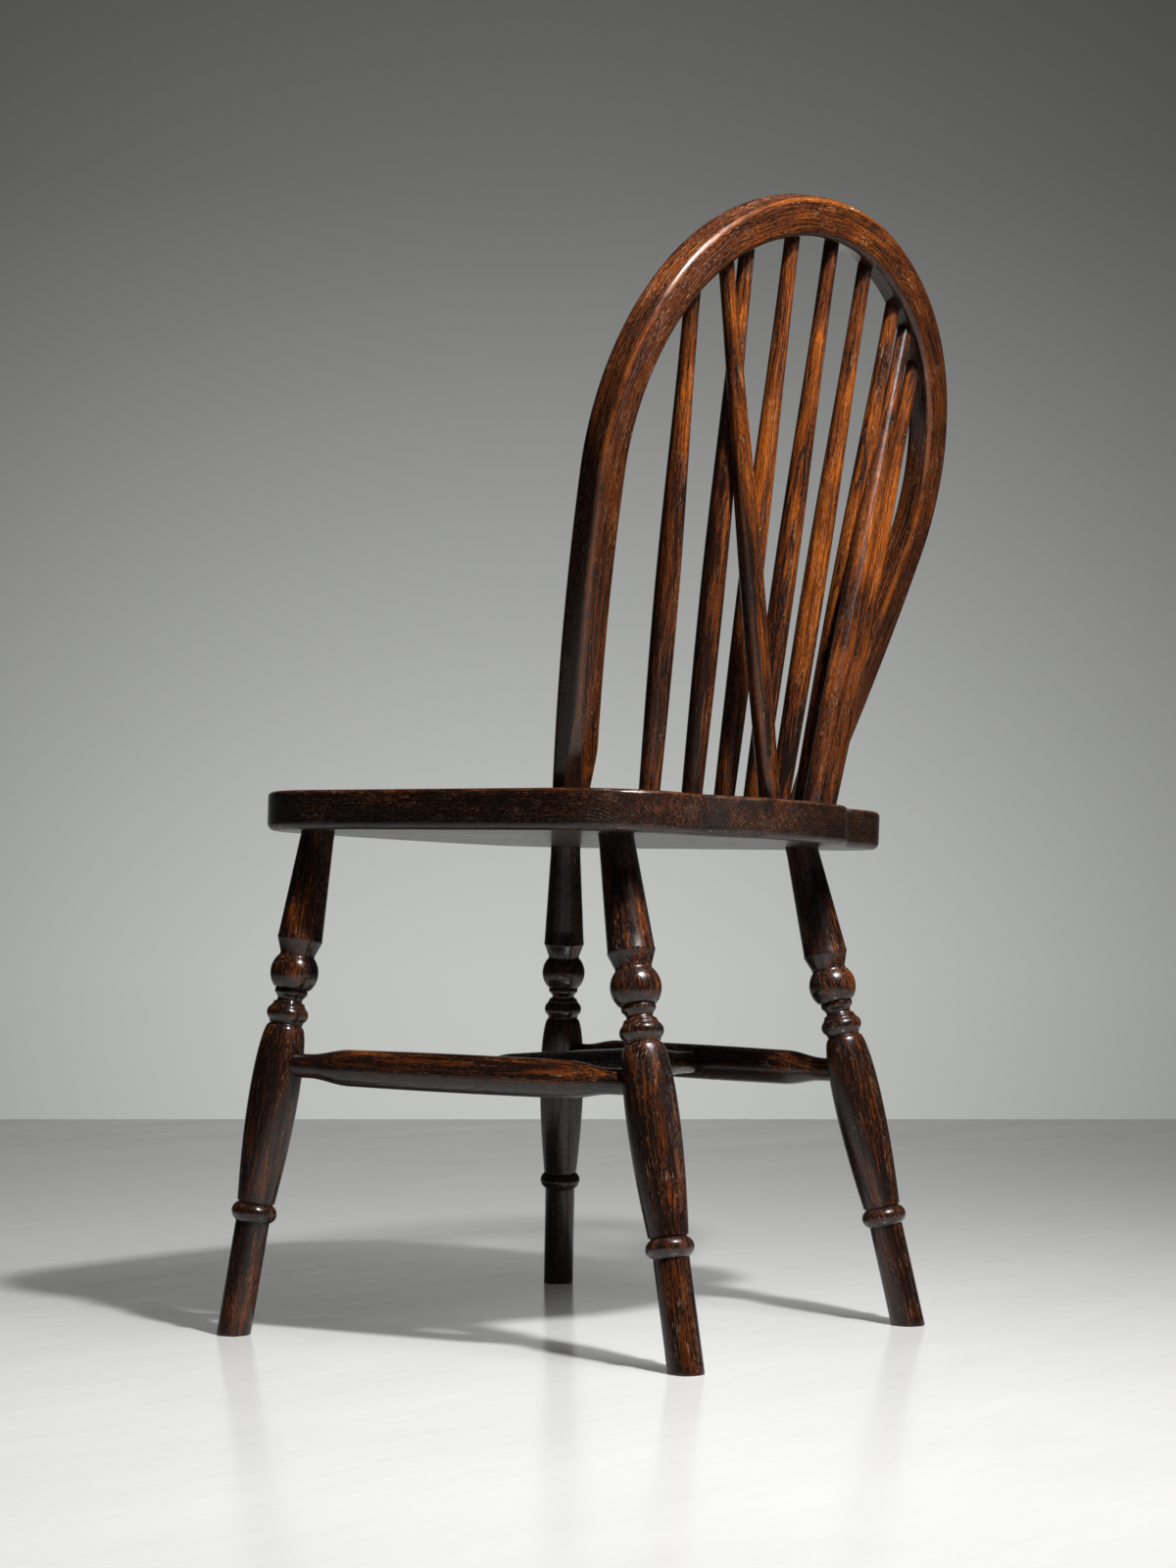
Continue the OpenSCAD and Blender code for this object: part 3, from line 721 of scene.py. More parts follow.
def seat_board(low_x, high_x, number):
    """The stretch of the seat between two lines along it, rounded, hollowed and in place."""
    seat = seat_sizes()
    piece = Piece()
    bm = piece.bm
    outline = seat_outline()
    face = bm.faces.new([bm.verts.new((x, y, 0)) for (x, y), _ in outline])
    sides = bmesh.ops.extrude_face_region(bm, geom=[face])["geom"]
    bmesh.ops.translate(bm, vec=(0, 0, -seat.thickness), verts=verts_of(sides))
    bmesh.ops.recalc_face_normals(bm, faces=bm.faces)
    round_corners(bm, outline)
    for x, outwards in ((low_x, -1), (high_x, 1)):
        rim = cut(bm, (x, 0, 0), (outwards, 0, 0))
        if rim:
            bmesh.ops.edgenet_fill(bm, edges=rim)

    # A corner's point beside a cut would leave a sliver there, on which no rim can be rounded
    sliver = 0.0008
    for v in bm.verts:
        v.co.x = next((x for x in (low_x, high_x) if abs(v.co.x - x) < sliver), v.co.x)
    bmesh.ops.remove_doubles(bm, verts=bm.verts, dist=sliver)
    round_rims(bm, (low_x, high_x))
    for v in bm.verts:
        v.co.x = min(max(v.co.x, low_x), high_x)
    slice_board(bm, low_x, high_x)
    hollow_top(bm)
    bmesh.ops.recalc_face_normals(bm, faces=bm.faces)

    # The grain runs from the front to the back, and the underside gets painted shade, darker the
    # more it faces down
    turn, dirt = Matrix(((1, 0, 0), (0, 0, 1), (0, 1, 0))), 0.6
    piece.mark_grain(bm.verts, tree_offset(BOARD + number), turn)
    piece.mark_rounding()
    # Painted shade on the faces that look down
    for v in bm.verts:
        v[piece.grime] = dirt * max(0.0, -v.normal.z)
    bmesh.ops.transform(bm, matrix=seat_matrix(), verts=bm.verts)
    return piece


def round_corners(bm, outline):
    """Rounds the upright edges, one size at a time."""
    count, segments = len(outline), 14
    for i, (_, r) in enumerate(outline):
        if not r:
            continue
        here, before, after = (Vector(outline[k % count][0]) for k in (i, i - 1, i + 1))
        half = (before - here).angle(after - here) / 2
        upright = [e for e in bm.edges if all((v.co.xy - here).length < TOUCH for v in e.verts)]
        round_edges(bm, upright, r / math.tan(half), segments)


def round_rims(bm, seams):
    """Rounds the rims of the top and the underside, and leaves the glue lines sharp."""
    seat = seat_sizes()
    low_z, sharp = -seat.thickness, math.radians(60)
    bm.normal_update()
    top, low = [], []
    for e in bm.edges:
        a, b = (v.co for v in e.verts)
        on_seam = any(abs(a.x - s) < TOUCH and abs(b.x - s) < TOUCH for s in seams)
        if len(e.link_faces) != 2 or e.calc_face_angle(0) < sharp or on_seam:
            continue
        if abs(a.z) < TOUCH and abs(b.z) < TOUCH:
            top.append(e)
        elif abs(a.z - low_z) < TOUCH and abs(b.z - low_z) < TOUCH:
            low.append(e)
    for edges, offset, segments in ((top, seat.top_rim, 5), (low, seat.low_rim, 6)):
        round_edges(bm, [e for e in edges if e.is_valid], offset, segments)


def slice_board(bm, low_x, high_x):
    """Cuts the board into a fine net, so that its top can be hollowed and its edges shaded."""
    seat = seat_sizes()
    step, margin, count = 0.010, 0.002, 30
    reach = seat.rear_width / 2 + step
    low, high = max(low_x, -reach) + margin, min(high_x, reach) - margin
    rows = [k * step for k in range(-count, count + 1)]
    cuts = [((x, 0, 0), (1, 0, 0)) for x in rows if low < x < high]
    cuts += [((0, y, 0), (0, 1, 0)) for y in rows if -seat.front < y < seat.back + seat.tail_length]
    for point, normal in cuts:
        cut(bm, point, normal, drop=False, near=1e-6)


def hollow_top(bm):
    """Sinks the top by a shallow bowl whose rim is eased into the flat."""
    seat = seat_sizes()
    steepness = 6
    for v in bm.verts:
        away = Vector((v.co.x, v.co.y - seat.dish_y)).length / seat.dish_radius
        if v.co.z > -TOUCH and away < 1:
            v.co.z -= seat.dish_depth * (1 - away ** 2) * min(1.0, (1 - away) * steepness)


class CHAIR_OT_seat(Operator):
    """Make the three seat boards, rounded and hollowed"""
    bl_idname = "chair.seat"
    bl_label = "Seat Boards"

    def execute(self, context):
        seam = seat_sizes().seam
        # From where to where each board reaches, and where its tree's middle lies
        boards = (("left", seam, 1.0, (0.235, -0.085)), ("middle", -seam, seam, (-0.030, -0.120)),
                  ("right", -1.0, -seam, (-0.110, 0.075)))
        for number, (side, low_x, high_x, pith) in enumerate(boards):
            material = oak(f"seat_oak_{side}", warmth=0.06, wear=0.1, filled=0.55, pith=pith,
                           wave=0.022, contrast=0.5)
            piece = seat_board(low_x, high_x, number)
            piece.finish(f"seat_board_{side}_oak", material, "seat_wood", [f"seat_board_{side}"])
        return {"FINISHED"}


class CHAIR_OT_dowels(Operator):
    """Make the hidden dowels that line up the seat boards"""
    bl_idname = "chair.dowels"
    bl_label = "Seat Dowels"

    def execute(self, context):
        seat = seat_sizes()
        piece = Piece()
        r, half, ease = seat.dowel / 2, seat.dowel_length / 2, 0.0012
        profile = [(0, -half), (r - ease, -half), (r, -half + ease), (r, half - ease),
                   (r - ease, half), (0, half)]
        depth = -(seat.thickness + seat.dish_depth / 2) / 2
        places = [(side * seat.seam, y, depth) for side in (-1, 1) for y in DOWEL_PLACES]
        for number, place in enumerate(places):
            lie = (seat_matrix() @ Matrix.Translation(place)
                   @ Matrix.Rotation(math.pi / 2, 4, "Y"))
            add_turning(piece, profile, lie, tree_offset(DOWEL + number), around=24)
        material = plain_wood("dowel_beech", context.scene.chair_finish.dowel)
        piece.finish("seat_dowels_beech", material, "seat_wood", ["seat_dowels"])
        return {"FINISHED"}


# ---- Legs ----

def leg_profile(front):
    """The turned leg from its foot to the end of its tenon, as (radius, height) points."""
    legs = leg_sizes()
    extra = leg_extra(front) + (legs.turning_up if front else 0)
    foot, top = leg_line(front, 1)
    end = (top - foot).length
    r, widest, cap = legs.foot / 2, legs.swell / 2, 0.0142
    swell_steps, ball_steps, cone_steps = 14, 16, 6
    # The foot runs on below the floor, where it is cut level
    base = [(0, -0.020)] + [(r, z) for z in (-0.020, 0.002, 0.020, 0.045 + extra, 0.070 + extra,
                                             0.0873 + extra)]
    # Heights of the low ring, of the swell's start, widest place and end, and of the high ring
    ring_at, swell_from, swell_at, swell_to, high_ring_at = 0.096, 0.105, 0.197, 0.256, 0.266
    quarter = math.pi / 2
    start = r + 0.0008
    parts = [k / swell_steps for k in range(swell_steps + 1)]
    heights = [swell_from + (swell_at - swell_from) * part for part in parts]
    rise = [(start + (widest - start) * math.sin(quarter * (z - ring_at) / (swell_at - ring_at)), z)
            for z in heights]
    fall = [(cap + (widest - cap) * math.cos(quarter * part),
             swell_at + (swell_to - swell_at) * math.sin(quarter * part)) for part in parts[1:]]
    # What stands above it on a rear leg, part by part
    quirk = [(cap - 0.0006, 0.2572), (cap + 0.0004, 0.2584)]
    cuff = bead(0.2744, 0.0270, 0.0034, 0.0230)[2:]
    neck = curve([(0.0112, 0.2763), (legs.neck / 2, 0.2779), (0.0108, 0.2795), (0.0120, 0.2813),
                  (0.0131, 0.2826)], 3)
    rim = legs.collar / 2
    collar = [(rim - 0.0002, 0.2831), (rim, 0.2838), (rim, 0.2868), (rim - 0.0005, 0.2875)]
    b, ball_at, low_turn, high_turn = legs.ball / 2, 0.3015, math.radians(-42), math.radians(44)
    turns = [low_turn + (high_turn - low_turn) * k / ball_steps for k in range(ball_steps + 1)]
    ball = [(b * math.cos(turn), ball_at + b * math.sin(turn)) for turn in turns]
    lip = legs.flare / 2
    flare = [(0.0147, 0.3178), (lip - 0.0006, 0.3285), (lip, 0.3298), (lip, 0.3306),
             (lip - 0.0003, 0.3314)]
    turned = (bead(ring_at, legs.low_ring, 0.0168, 2 * r) + rise + fall + quirk
              + bead(high_ring_at, legs.high_ring, 0.0146, 2 * cap) + cuff + neck + collar + ball
              + flare)
    turned = [(radius, height + extra) for radius, height in turned]
    low, high, tip = turned[-1], (legs.top / 2, end - 0.006), end + legs.socket
    cone = [tuple(a + (b - a) * k / cone_steps for a, b in zip(low, high))
            for k in range(1, cone_steps + 1)]
    r, ease = legs.top / 2, 0.001
    return base + turned + cone + [(r, end), (r, tip - ease), (r - ease, tip), (0, tip)]


def cut_level(piece, height, ease):
    """Cuts the piece off level, closes it and eases the new edge."""
    rim = cut(piece.bm, (0, 0, height), (0, 0, -1))
    bmesh.ops.holes_fill(piece.bm, edges=rim, sides=0)
    round_edges(piece.bm, rim, ease, segments=3)


class CHAIR_OT_legs(Operator):
    """Make the four turned legs, cut level on the floor"""
    bl_idname = "chair.legs"
    bl_label = "Legs"

    def execute(self, context):
        number = LEG
        for end in ("front", "rear"):
            for name, side in SIDES:
                foot, top = leg_line(end == "front", side)
                piece = Piece()
                # Each leg is turned a little from the last, so that its figure differs
                place = show(along(foot, top), 0.35 * (number - LEG - 1.5))
                add_turning(piece, leg_profile(end == "front"), place, tree_offset(number),
                            around=64)
                cut_level(piece, 0, ease=0.0008)
                piece.mark_edges(sharpness=0.0016)
                near_floor(piece)
                material = oak(f"leg_oak_{end}_{name}", warmth=0.17, wear=0.75, filled=0.55,
                               pith=beside_pith(0.034, number))
                piece.finish(f"leg_{end}_{name}_turned", material, "turned_wood",
                             [f"leg_{end}_{name}"], flat=50)
                number += 1
        return {"FINISHED"}


def near_floor(piece):
    """Feet are scuffed and darker just above the floor."""
    reach, dirt, scuffs = 0.012, 0.5, 0.45
    for v in piece.bm.verts:
        close = max(0.0, 1 - v.co.z / reach)
        v[piece.grime] = max(v[piece.grime], dirt * close)
        v[piece.edge] = max(v[piece.edge], scuffs * close)


# ---- Stretchers ----

def stretcher_profile(reach, swell, end):
    """A swelled turning from end to end, as (radius, height) points."""
    straight, taper, full = 0.032, 0.042, 0.9
    half = reach / 2

    def radius(z):
        way = min(z, reach - z)
        if way < straight:
            rise = 0
        elif way < straight + taper:
            rise = full * (1 - math.cos(math.pi * (way - straight) / taper)) / 2
        else:
            rise = full + (1 - full) * math.sin(
                math.pi / 2 * (way - straight - taper) / (half - straight - taper))
        return (end + (swell - end) * rise) / 2

    steps = 64
    return ([(0, 0)] + [(radius(reach * k / steps), reach * k / steps) for k in range(steps + 1)]
            + [(0, reach)])


class CHAIR_OT_stretchers(Operator):
    """Make the side stretchers and the cross stretcher between them"""
    bl_idname = "chair.stretchers"
    bl_label = "Stretchers"

    def execute(self, context):
        sizes = context.scene.chair_stretchers
        sides = {}
        for number, (name, side) in enumerate(SIDES):
            front, rear = leg_joint(True, side), leg_joint(False, side)
            sides[side] = (front + rear) / 2
            self.make(f"side_stretcher_{name}", front, rear, sizes.side, number)
        self.make("cross_stretcher", sides[1], sides[-1], sizes.cross, 2)
        return {"FINISHED"}

    def make(self, node, start, end, swell, number):
        piece = Piece()
        profile = stretcher_profile((end - start).length, swell,
                                    bpy.context.scene.chair_stretchers.end)
        place = show(along(start, end), 0.5 * (number - 1))
        add_turning(piece, profile, place, tree_offset(STRETCHER + number))
        piece.mark_edges(sharpness=0.0010)
        material = oak(f"{node}_oak", warmth=0.20, wear=0.4, filled=0.45, pith=(0.040, 0.0))
        piece.finish(f"{node}_turned", material, "turned_wood", [node])


# ---- Hoop ----

def hoop_section(x_outer):
    """Points round the hoop's rounded section at its foot, as (across, forward)."""
    hoop = hoop_sizes()
    w, t, r = hoop.width, hoop.thickness, hoop.rounding
    corners = [(w - r, r, -90), (w - r, t - r, 0), (r, t - r, 90), (r, r, 180)]
    steps = 6
    return [(x_outer - w + cx + r * math.cos(turn), cy + r * math.sin(turn))
            for cx, cy, start in corners
            for turn in (math.radians(start + 90 * k / steps) for k in range(steps + 1))]


def sweep_hoop(piece):
    """Sweeps the section from the left foot round the hoop to the right foot."""
    bm = piece.bm
    hoop = hoop_sizes()
    crown, shoulder, limb = arc_centres()
    below_seat, limb_steps, shoulder_steps, crown_steps = -0.016, 34, 36, 48
    foot = foot_angle(below_seat)
    # The section starts straight out from the left limb's centre and is turned to its foot
    verts = [bm.verts.new((x, 0, d)) for x, d in hoop_section(hoop.limb)]
    edges = [bm.edges.new((verts[i - 1], verts[i])) for i in range(len(verts))]
    place = Matrix.Translation((limb.x, limb.y, 0)) @ Matrix.Rotation(foot, 4, "Z")
    bmesh.ops.transform(bm, matrix=place, verts=verts)
    turns = [
        (limb.x, limb.y, limb_start() - foot, limb_steps),
        (shoulder.x, shoulder.y, hoop.shoulder_angle, shoulder_steps),
        (0, crown.y, 2 * hoop.crown_angle, crown_steps),
        (-shoulder.x, shoulder.y, hoop.shoulder_angle, shoulder_steps),
        (-limb.x, limb.y, limb_start() - foot, limb_steps),
    ]
    geom = verts + edges
    for x, y, turn, steps in turns:
        geom = bmesh.ops.spin(bm, geom=geom, cent=(x, y, 0), axis=(0, 0, 1), angle=turn,
                              steps=steps)["geom_last"]
    for end in (verts, verts_of(geom)):
        bmesh.ops.contextual_create(bm, geom=end)
    bmesh.ops.recalc_face_normals(bm, faces=bm.faces)


def foot_angle(height):
    """Angle about the limb's centre of its outer edge at a height up the slope."""
    hoop = hoop_sizes()
    return math.asin((height - arc_centres()[2].y) / hoop.limb)


def along_hoop(x, s):
    """How far along the hoop a point of its plane lies from the crown's top, and how far
    inside its outer edge."""
    hoop = hoop_sizes()
    crown, shoulder, limb = arc_centres()
    side = 1 if x >= 0 else -1
    p = Vector((abs(x), s))
    shoulder_line = limb_start() + hoop.shoulder_angle
    from_crown = math.atan2(p.x - crown.x, p.y - crown.y)
    from_shoulder = math.atan2(p.y - shoulder.y, p.x - shoulder.x)
    if from_crown < hoop.crown_angle and p.y > crown.y:
        return side * hoop.crown * from_crown, hoop.crown - (p - crown).length
    way = hoop.crown * hoop.crown_angle
    if from_shoulder > limb_start():
        way += hoop.shoulder * (shoulder_line - from_shoulder)
        return side * way, hoop.shoulder - (p - shoulder).length
    way += hoop.shoulder * hoop.shoulder_angle
    from_limb = math.atan2(p.y - limb.y, p.x - limb.x)
    return side * (way + hoop.limb * (limb_start() - from_limb)), hoop.limb - (p - limb).length


def plane_cut(bm, point, normal, keep_x):
    """Cuts the limb on one side with a plane, drops what is outside and closes the cut."""
    limb_to = 0.2
    side = [v for v in bm.verts if v.co.x * keep_x > 0 and v.co.y < limb_to]
    edges = {e for v in side for e in v.link_edges}
    faces = {f for v in side for f in v.link_faces}
    rim = cut(bm, point, normal, side + list(edges) + list(faces))
    bmesh.ops.holes_fill(bm, edges=rim, sides=0)


def shape_feet(bm):
    """Shaves the feet inside, flats their rear outer edges and cuts them to the seat."""
    hoop = hoop_sizes()
    limb = arc_centres()[2]
    inner = hoop.limb - hoop.width

    def edge_x(radius, s):
        return limb.x + math.sqrt(radius ** 2 - (s - limb.y) ** 2)

    shave_top = Vector((edge_x(inner, hoop.shave_length), hoop.shave_length, 0))
    shave_low = Vector((edge_x(inner, 0) + hoop.shave, 0, 0))
    flat_top = Vector((edge_x(hoop.limb, hoop.chamfer_length), hoop.chamfer_length, 0))
    flat_low = Vector((edge_x(hoop.limb, 0), 0, 0))
    way = shave_top - shave_low
    # The flat faces out and back, and is deepest at the seat
    diagonal = math.sqrt(0.5)
    corner = hoop.rounding * (1 - diagonal)
    deep = corner + (hoop.chamfer + corner) * diagonal
    top_point = flat_top + Vector((-corner, 0, corner))
    low_point = flat_low + Vector((-deep, 0, deep))
    normal = (top_point - low_point).cross(Vector((1, 0, 1))).normalized()
    if normal.dot(Vector((1, 0, -1))) < 0:
        normal = -normal
    seat_up = (hoop_matrix().inverted() @ seat_matrix()).to_3x3() @ Vector((0, 0, 1))
    for _, side in SIDES:
        plane_cut(bm, flip(shave_low, side), flip(Vector((-way.y, way.x, 0)), side), side)
        plane_cut(bm, flip(low_point, side), flip(normal, side), side)
        plane_cut(bm, Vector((0, 0, 0)), -seat_up, side)


def flip(v, side):
    return Vector((v.x * side, v.y, v.z))


class CHAIR_OT_hoop(Operator):
    """Make the bent hoop, with shaved feet and a tenon below each"""
    bl_idname = "chair.hoop"
    bl_label = "Hoop"

    def execute(self, context):
        hoop = hoop_sizes()
        piece = Piece()
        bm = piece.bm
        sweep_hoop(piece)
        shape_feet(bm)
        piece.mark_rounding()
        # The feet are darker where they meet the seat, with dirt and painted shade, and the crown
        # is chipped most at its top
        grimy_to, dirt = 0.016, 0.7
        chips_at, chips_over, chips = 0.002, 0.034, 0.62
        for v in bm.verts:
            way, inside = along_hoop(v.co.x, v.co.y)
            v[piece.grain] = Vector((inside, v.co.z, way)) + tree_offset(HOOP)
            v[piece.grime] = dirt * unit(1 - v.co.y / grimy_to)
            if inside < hoop.width / 2:
                v[piece.edge] *= 1 + chips * math.exp(-((way - chips_at) / chips_over) ** 2)
        self.add_tenons(piece)
        bmesh.ops.transform(bm, matrix=hoop_matrix(), verts=bm.verts)
        material = oak("hoop_oak", warmth=0.33, wear=0.22, filled=0.55, pith=(-0.030, 0.060),
                       contrast=0.5)
        piece.finish("hoop_bent", material, "hoop_wood", ["hoop"], flat=30)
        return {"FINISHED"}

    def add_tenons(self, piece):
        hoop = hoop_sizes()
        limb = arc_centres()[2]
        middle = hoop.limb - hoop.width / 2
        at = math.asin(-limb.y / middle)
        x = limb.x + middle * math.cos(at) + hoop.shave / 2
        r, ease, inside = hoop.tenon / 2, 0.001, -0.012
        profile = [(0, inside), (r, inside), (r, hoop.socket - ease), (r - ease, hoop.socket),
                   (0, hoop.socket)]
        for _, side in SIDES:
            top = Vector((x * side, 0, hoop.thickness / 2))
            end = top + Vector((math.sin(at) * side, -math.cos(at), 0)) * hoop.socket
            add_turning(piece, profile, along(top, end), tree_offset(TENON), around=32)


# ---- Sticks and braces ----

def stick_profile(reach):
    """A stick from the end of its tenon to its end in the hoop, as (radius, height) points."""
    sticks = stick_sizes()
    swell_at, sunk, ease, steps = 0.37, 0.0036, 0.0008, 40
    turned = reach - sticks.top / 2

    def radius(u):
        if u < swell_at:
            return (sticks.foot + (sticks.swell - sticks.foot)
                    * math.sin(math.pi / 2 * u / swell_at)) / 2
        fall = (1 + math.cos(math.pi * (u - swell_at) / (1 - swell_at))) / 2
        return (sticks.top + (sticks.swell - sticks.top) * fall) / 2

    tenon, low = sticks.tenon / 2, -sticks.socket
    high, end = sticks.top / 2, reach + sticks.top_socket
    return ([(0, low), (tenon - ease, low), (tenon, low + ease), (tenon, -sunk),
             (sticks.foot / 2, -sunk)]
            + [(radius(k / steps), turned * k / steps) for k in range(steps + 1)]
            + [(high, end - ease), (high - ease, end), (0, end)])


class CHAIR_OT_sticks(Operator):
    """Make the sticks of the back and the two braces behind them"""
    bl_idname = "chair.sticks"
    bl_label = "Sticks and Braces"
    # How much paler amber each stick and brace gets in a band up its length, how far up that band
    # lies and over what length, and how much darker the rest is
    stick_wear = (0.10, 0.20, 0.42, 0.14, 0.30, 0.24, 0.34)
    brace_wear, untouched = 0.20, 0.10
    held_at, held_over = 0.27, 0.14
    # Near the seat each stick is darker, with dirt and painted shade where it meets the seat
    grimy_to, dirt = 0.016, 0.6

    def execute(self, context):
        for number, worn in enumerate(self.stick_wear, 1):
            self.make(f"stick_{number}", stick_line(number), STICK + number - 1, worn)
        for name, side in SIDES:
            self.make(f"brace_{name}", brace_line(side), STICK + 7 + side, self.brace_wear)
        return {"FINISHED"}

    def make(self, node, line, number, worn):
        foot, top = line
        piece = Piece()
        place = show(along(foot, top), 1.3 * number)
        tree = tree_offset(number)
        profile = stick_profile((top - foot).length)
        for v in add_turning(piece, profile, place, tree, around=32):
            up = v[piece.grain].z - tree.z
            held = worn * math.exp(-((up - self.held_at) / self.held_over) ** 2)
            v[piece.handled] = held - self.untouched
            # Dirt and painted shade at the foot
            v[piece.grime] = max(0.0, 1 - up / self.grimy_to) * self.dirt
        piece.mark_edges(sharpness=0.0006)
        material = oak(f"{node}_oak", warmth=0.36, wear=0.3, filled=0.45,
                       pith=beside_pith(0.030, number))
        piece.finish(f"{node}_turned", material, "stick_wood", [node])


# ---- Stage ----

class CHAIR_OT_stage(Operator):
    """Make the floor, the backdrop, the soft lights and the camera"""
    bl_idname = "chair.stage"
    bl_label = "Stage"

    def execute(self, context):
        stage = context.scene.chair_stage
        self.floor(stage)
        self.backdrop(context.scene, stage)
        self.lights(stage)
        self.camera(context.scene, stage)
        context.scene.view_settings.view_transform = "Standard"
        return {"FINISHED"}

    def floor(self, stage):
        bm = bmesh.new()
        bmesh.ops.create_grid(bm, x_segments=1, y_segments=1, size=stage.reach,
                              matrix=Matrix.Rotation(stage.azimuth, 4, "Z"))
        mesh = bpy.data.meshes.new("floor")
        bm.to_mesh(mesh)
        bm.free()
        floor = add_object("floor", mesh)
        material = bpy.data.materials.new("painted_floor")
        sheet = Sheet(material)
        place = sheet.node("ShaderNodeTexCoord", None, None, "Object")
        mottle = sheet.noise(place, (2.5, 6.0, 1.0), 4.0, 0.6)
        ripple = sheet.noise(place, (7.0, 26.0, 1.0), 3.0, 0.5)
        seen, paint = self.seen(sheet), rgba(stage.floor)
        tone = sheet.mix(seen, rgba(stage.floor_bounce), sheet.shade(paint, stage.floor_lift))
        sheet.end(sheet.node("ShaderNodeBsdfPrincipled", None, {
            "Base Color": sheet.shade(tone, 0.97 + mottle.swing(0.12)),
            "Roughness": 0.12 + mottle * 0.10, "Normal": sheet.bump(ripple, 0.10, 0.004),
            "Emission Color": sheet.shade(paint, seen * stage.floor_haze),
            "Emission Strength": 1.0}))
        mesh.materials.append(material)

    @staticmethod
    def seen(sheet):
        """1 for what is seen straight, in gloss or through glass, and 0 for light that spreads."""
        camera = sheet.node("ShaderNodeLightPath", None, None, "Is Camera Ray")
        through = camera.beside("Is Transmission Ray")
        return (camera + camera.beside("Is Glossy Ray") + through).clamp()

    def backdrop(self, scene, stage):
        """A wall with a soft pool of light, in a darker room, and an even sky for soft light."""
        wall_rise, pool_aside = 3.4, 0.023
        scene.world = bpy.data.worlds.new("studio")
        sheet = Sheet(scene.world)
        way = sheet.node("ShaderNodeTexCoord", None, None, "Generated")
        height = sheet.node("ShaderNodeSeparateXYZ", None, {0: way}, "Z")
        graded = sheet.node("ShaderNodeValToRGB", {"stops": [
            (0.0, stage.wall_low), (0.5, stage.wall_middle), (1.0, stage.wall_high)]},
            {"Fac": height * wall_rise}, "Color")
        middle = Matrix.Rotation(stage.azimuth + pool_aside, 3, "Z") @ Vector((0, 1, 0))
        facing = sheet.node("ShaderNodeVectorMath", {"operation": "DOT_PRODUCT"},
                            {0: way, 1: middle}, "Value")
        lit = facing.clamp() ** stage.pool + stage.room
        wall = sheet.node("ShaderNodeBackground", None,
                          {"Color": sheet.shade(graded, lit), "Strength": 1.0})
        sky = sheet.node("ShaderNodeBackground", None,
                         {"Color": (1, 1, 1, 1), "Strength": stage.sky})
        surface = sheet.node("ShaderNodeMixShader", None, {0: self.seen(sheet), 1: sky, 2: wall})
        sheet.end(surface, "ShaderNodeOutputWorld")

    def lights(self, stage):
        spot, key = Vector((0.40, 1.00, 1.70)), Vector((0.24, 1.06, 1.66))
        far = Vector((-1.7, -1.5, 1.9))
        aim, middle = Vector((0.30, 0, 1)), Vector((0, 0, 0.50))
        self.soft_box("key_spot", spot, aim, stage.spot_size, stage.spot_power)
        self.soft_box("key_box", key, aim, stage.box_size, stage.box_power)
        # The gleam shows in gloss alone, and the fill everywhere but there
        gleam = self.soft_box("key_gleam", key, aim, stage.box_size, stage.gleam_power)
        gleam.visible_diffuse = False
        fill = self.soft_box("fill", far, middle, stage.fill_size, stage.fill_power)
        fill.visible_glossy = fill.visible_camera = False
        self.spare_floor(fill)

    def spare_floor(self, lamp):
        """Keeps a lamp off the floor, so that it doesn't wash out the chair's shadow."""
        spared = bpy.data.collections.new("spared_by_fill")
        spared.objects.link(bpy.data.objects["floor"])
        lamp.light_linking.receiver_collection = spared
        spared.collection_objects[0].light_linking.link_state = "EXCLUDE"

    def soft_box(self, name, place, target, size, power):
        light = bpy.data.lights.new(name, "AREA")
        light.shape, light.size, light.energy = "SQUARE", size, power
        lamp = add_object(name, light)
        lamp.location = place
        lamp.rotation_euler = (target - place).to_track_quat("-Z", "Y").to_euler()
        return lamp

    def camera(self, scene, stage):
        data = bpy.data.cameras.new("camera")
        data.lens, data.sensor_width, data.shift_y = stage.lens, 36, stage.shift
        turn = Matrix.Rotation(stage.azimuth, 4, "Z")
        place = turn @ Vector((-stage.sideways, -stage.distance, stage.height))
        scene.camera = add_object("camera", data)
        scene.camera.location = chair_matrix() @ place
        scene.camera.rotation_euler = (math.pi / 2, 0, stage.azimuth)


# ---- Panel and registration ----

class CHAIR_PT_chair(Panel):
    """Lists the chair's pieces and its sizes"""
    bl_idname = "CHAIR_PT_chair"
    bl_label = "Hoop-back Chair"
    bl_space_type = "VIEW_3D"
    bl_region_type = "UI"
    bl_category = "Chair"

    def draw(self, context):
        layout = self.layout
        for operator in OPERATORS:
            layout.operator(operator.bl_idname)
        for name in GROUPS:
            box = layout.box()
            box.label(text=name.replace("_", " ").capitalize())
            group = getattr(context.scene, name)
            for key in group.bl_rna.properties.keys():
                if key not in ("rna_type", "name"):
                    box.prop(group, key)


GROUPS = {"chair_seat": ChairSeat, "chair_legs": ChairLegs, "chair_stretchers": ChairStretchers,
          "chair_hoop": ChairHoop, "chair_sticks": ChairSticks, "chair_finish": ChairFinish,
          "chair_stage": ChairStage}
OPERATORS = [CHAIR_OT_seat, CHAIR_OT_dowels, CHAIR_OT_legs, CHAIR_OT_stretchers, CHAIR_OT_hoop,
             CHAIR_OT_sticks, CHAIR_OT_stage]


def register():
    for cls in (*GROUPS.values(), *OPERATORS, CHAIR_PT_chair):
        bpy.utils.register_class(cls)
    for name, group in GROUPS.items():
        setattr(bpy.types.Scene, name, PointerProperty(type=group))


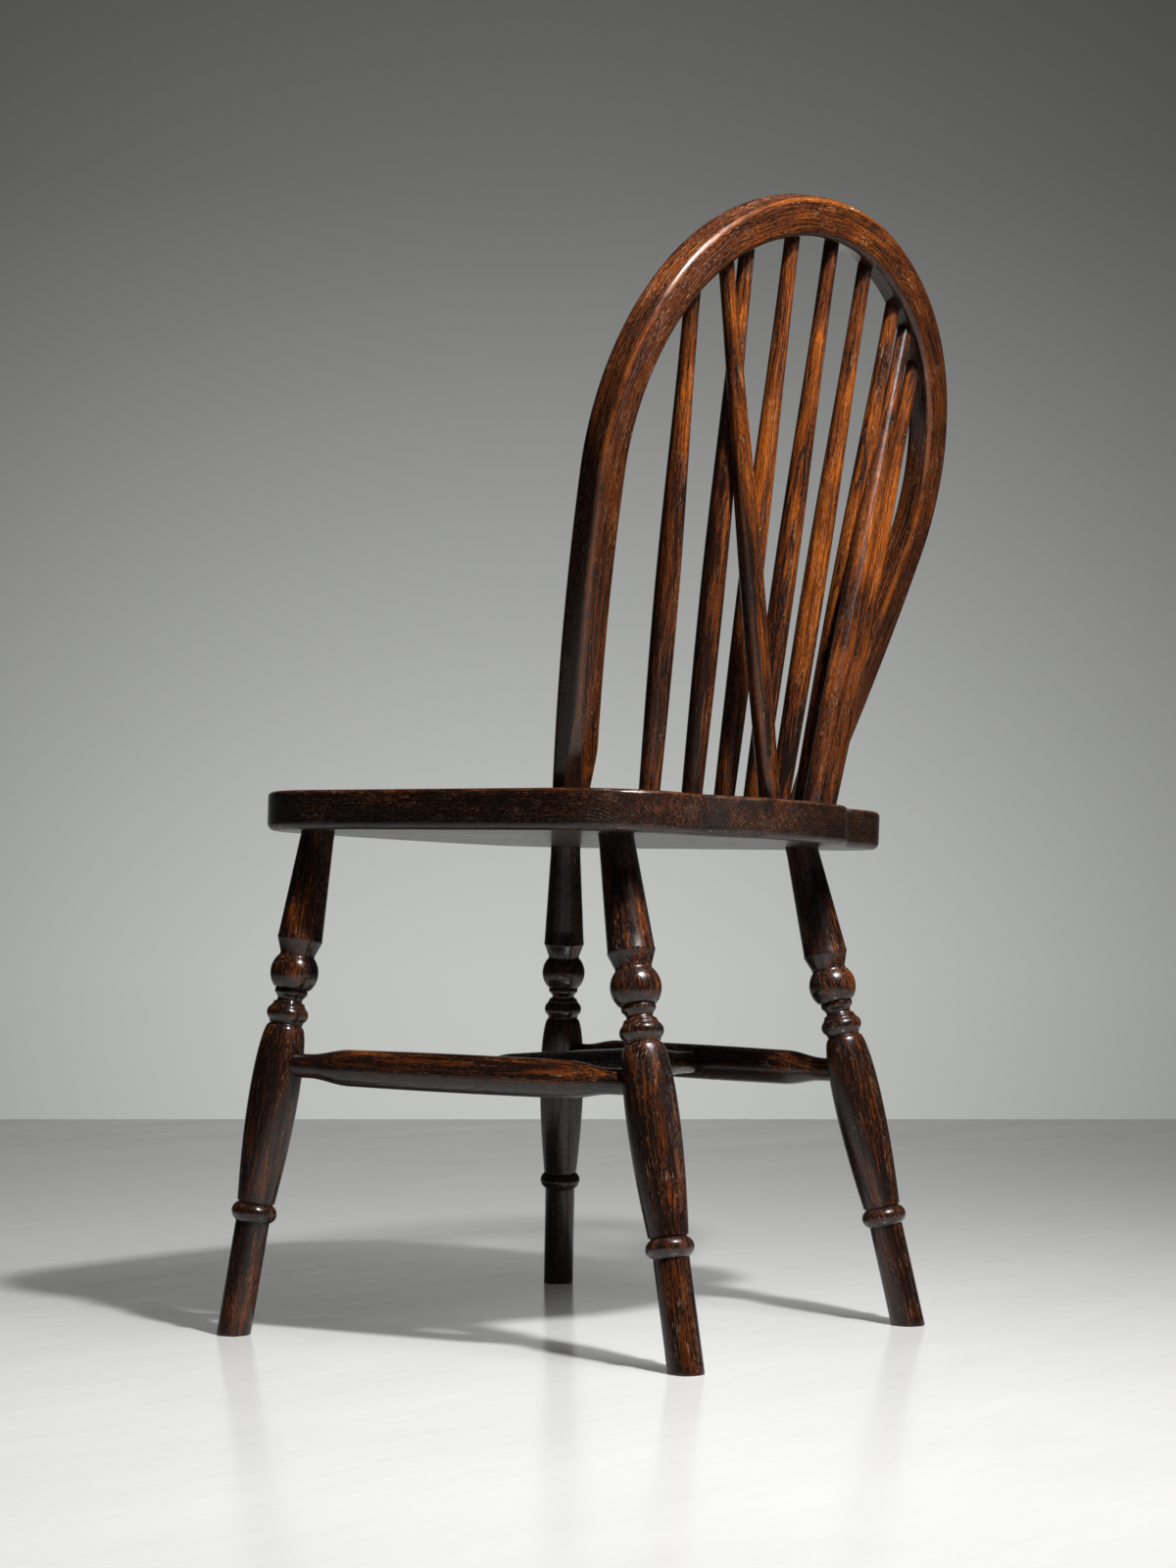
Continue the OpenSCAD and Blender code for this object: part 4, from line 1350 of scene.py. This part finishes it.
def unregister():
    for name in GROUPS:
        delattr(bpy.types.Scene, name)
    for cls in reversed((*GROUPS.values(), *OPERATORS, CHAIR_PT_chair)):
        bpy.utils.unregister_class(cls)


def main():
    register()
    bpy.ops.chair.seat()
    bpy.ops.chair.dowels()
    bpy.ops.chair.legs()
    bpy.ops.chair.stretchers()
    bpy.ops.chair.hoop()
    bpy.ops.chair.sticks()
    bpy.ops.chair.stage()


if __name__ == "__main__":
    main()
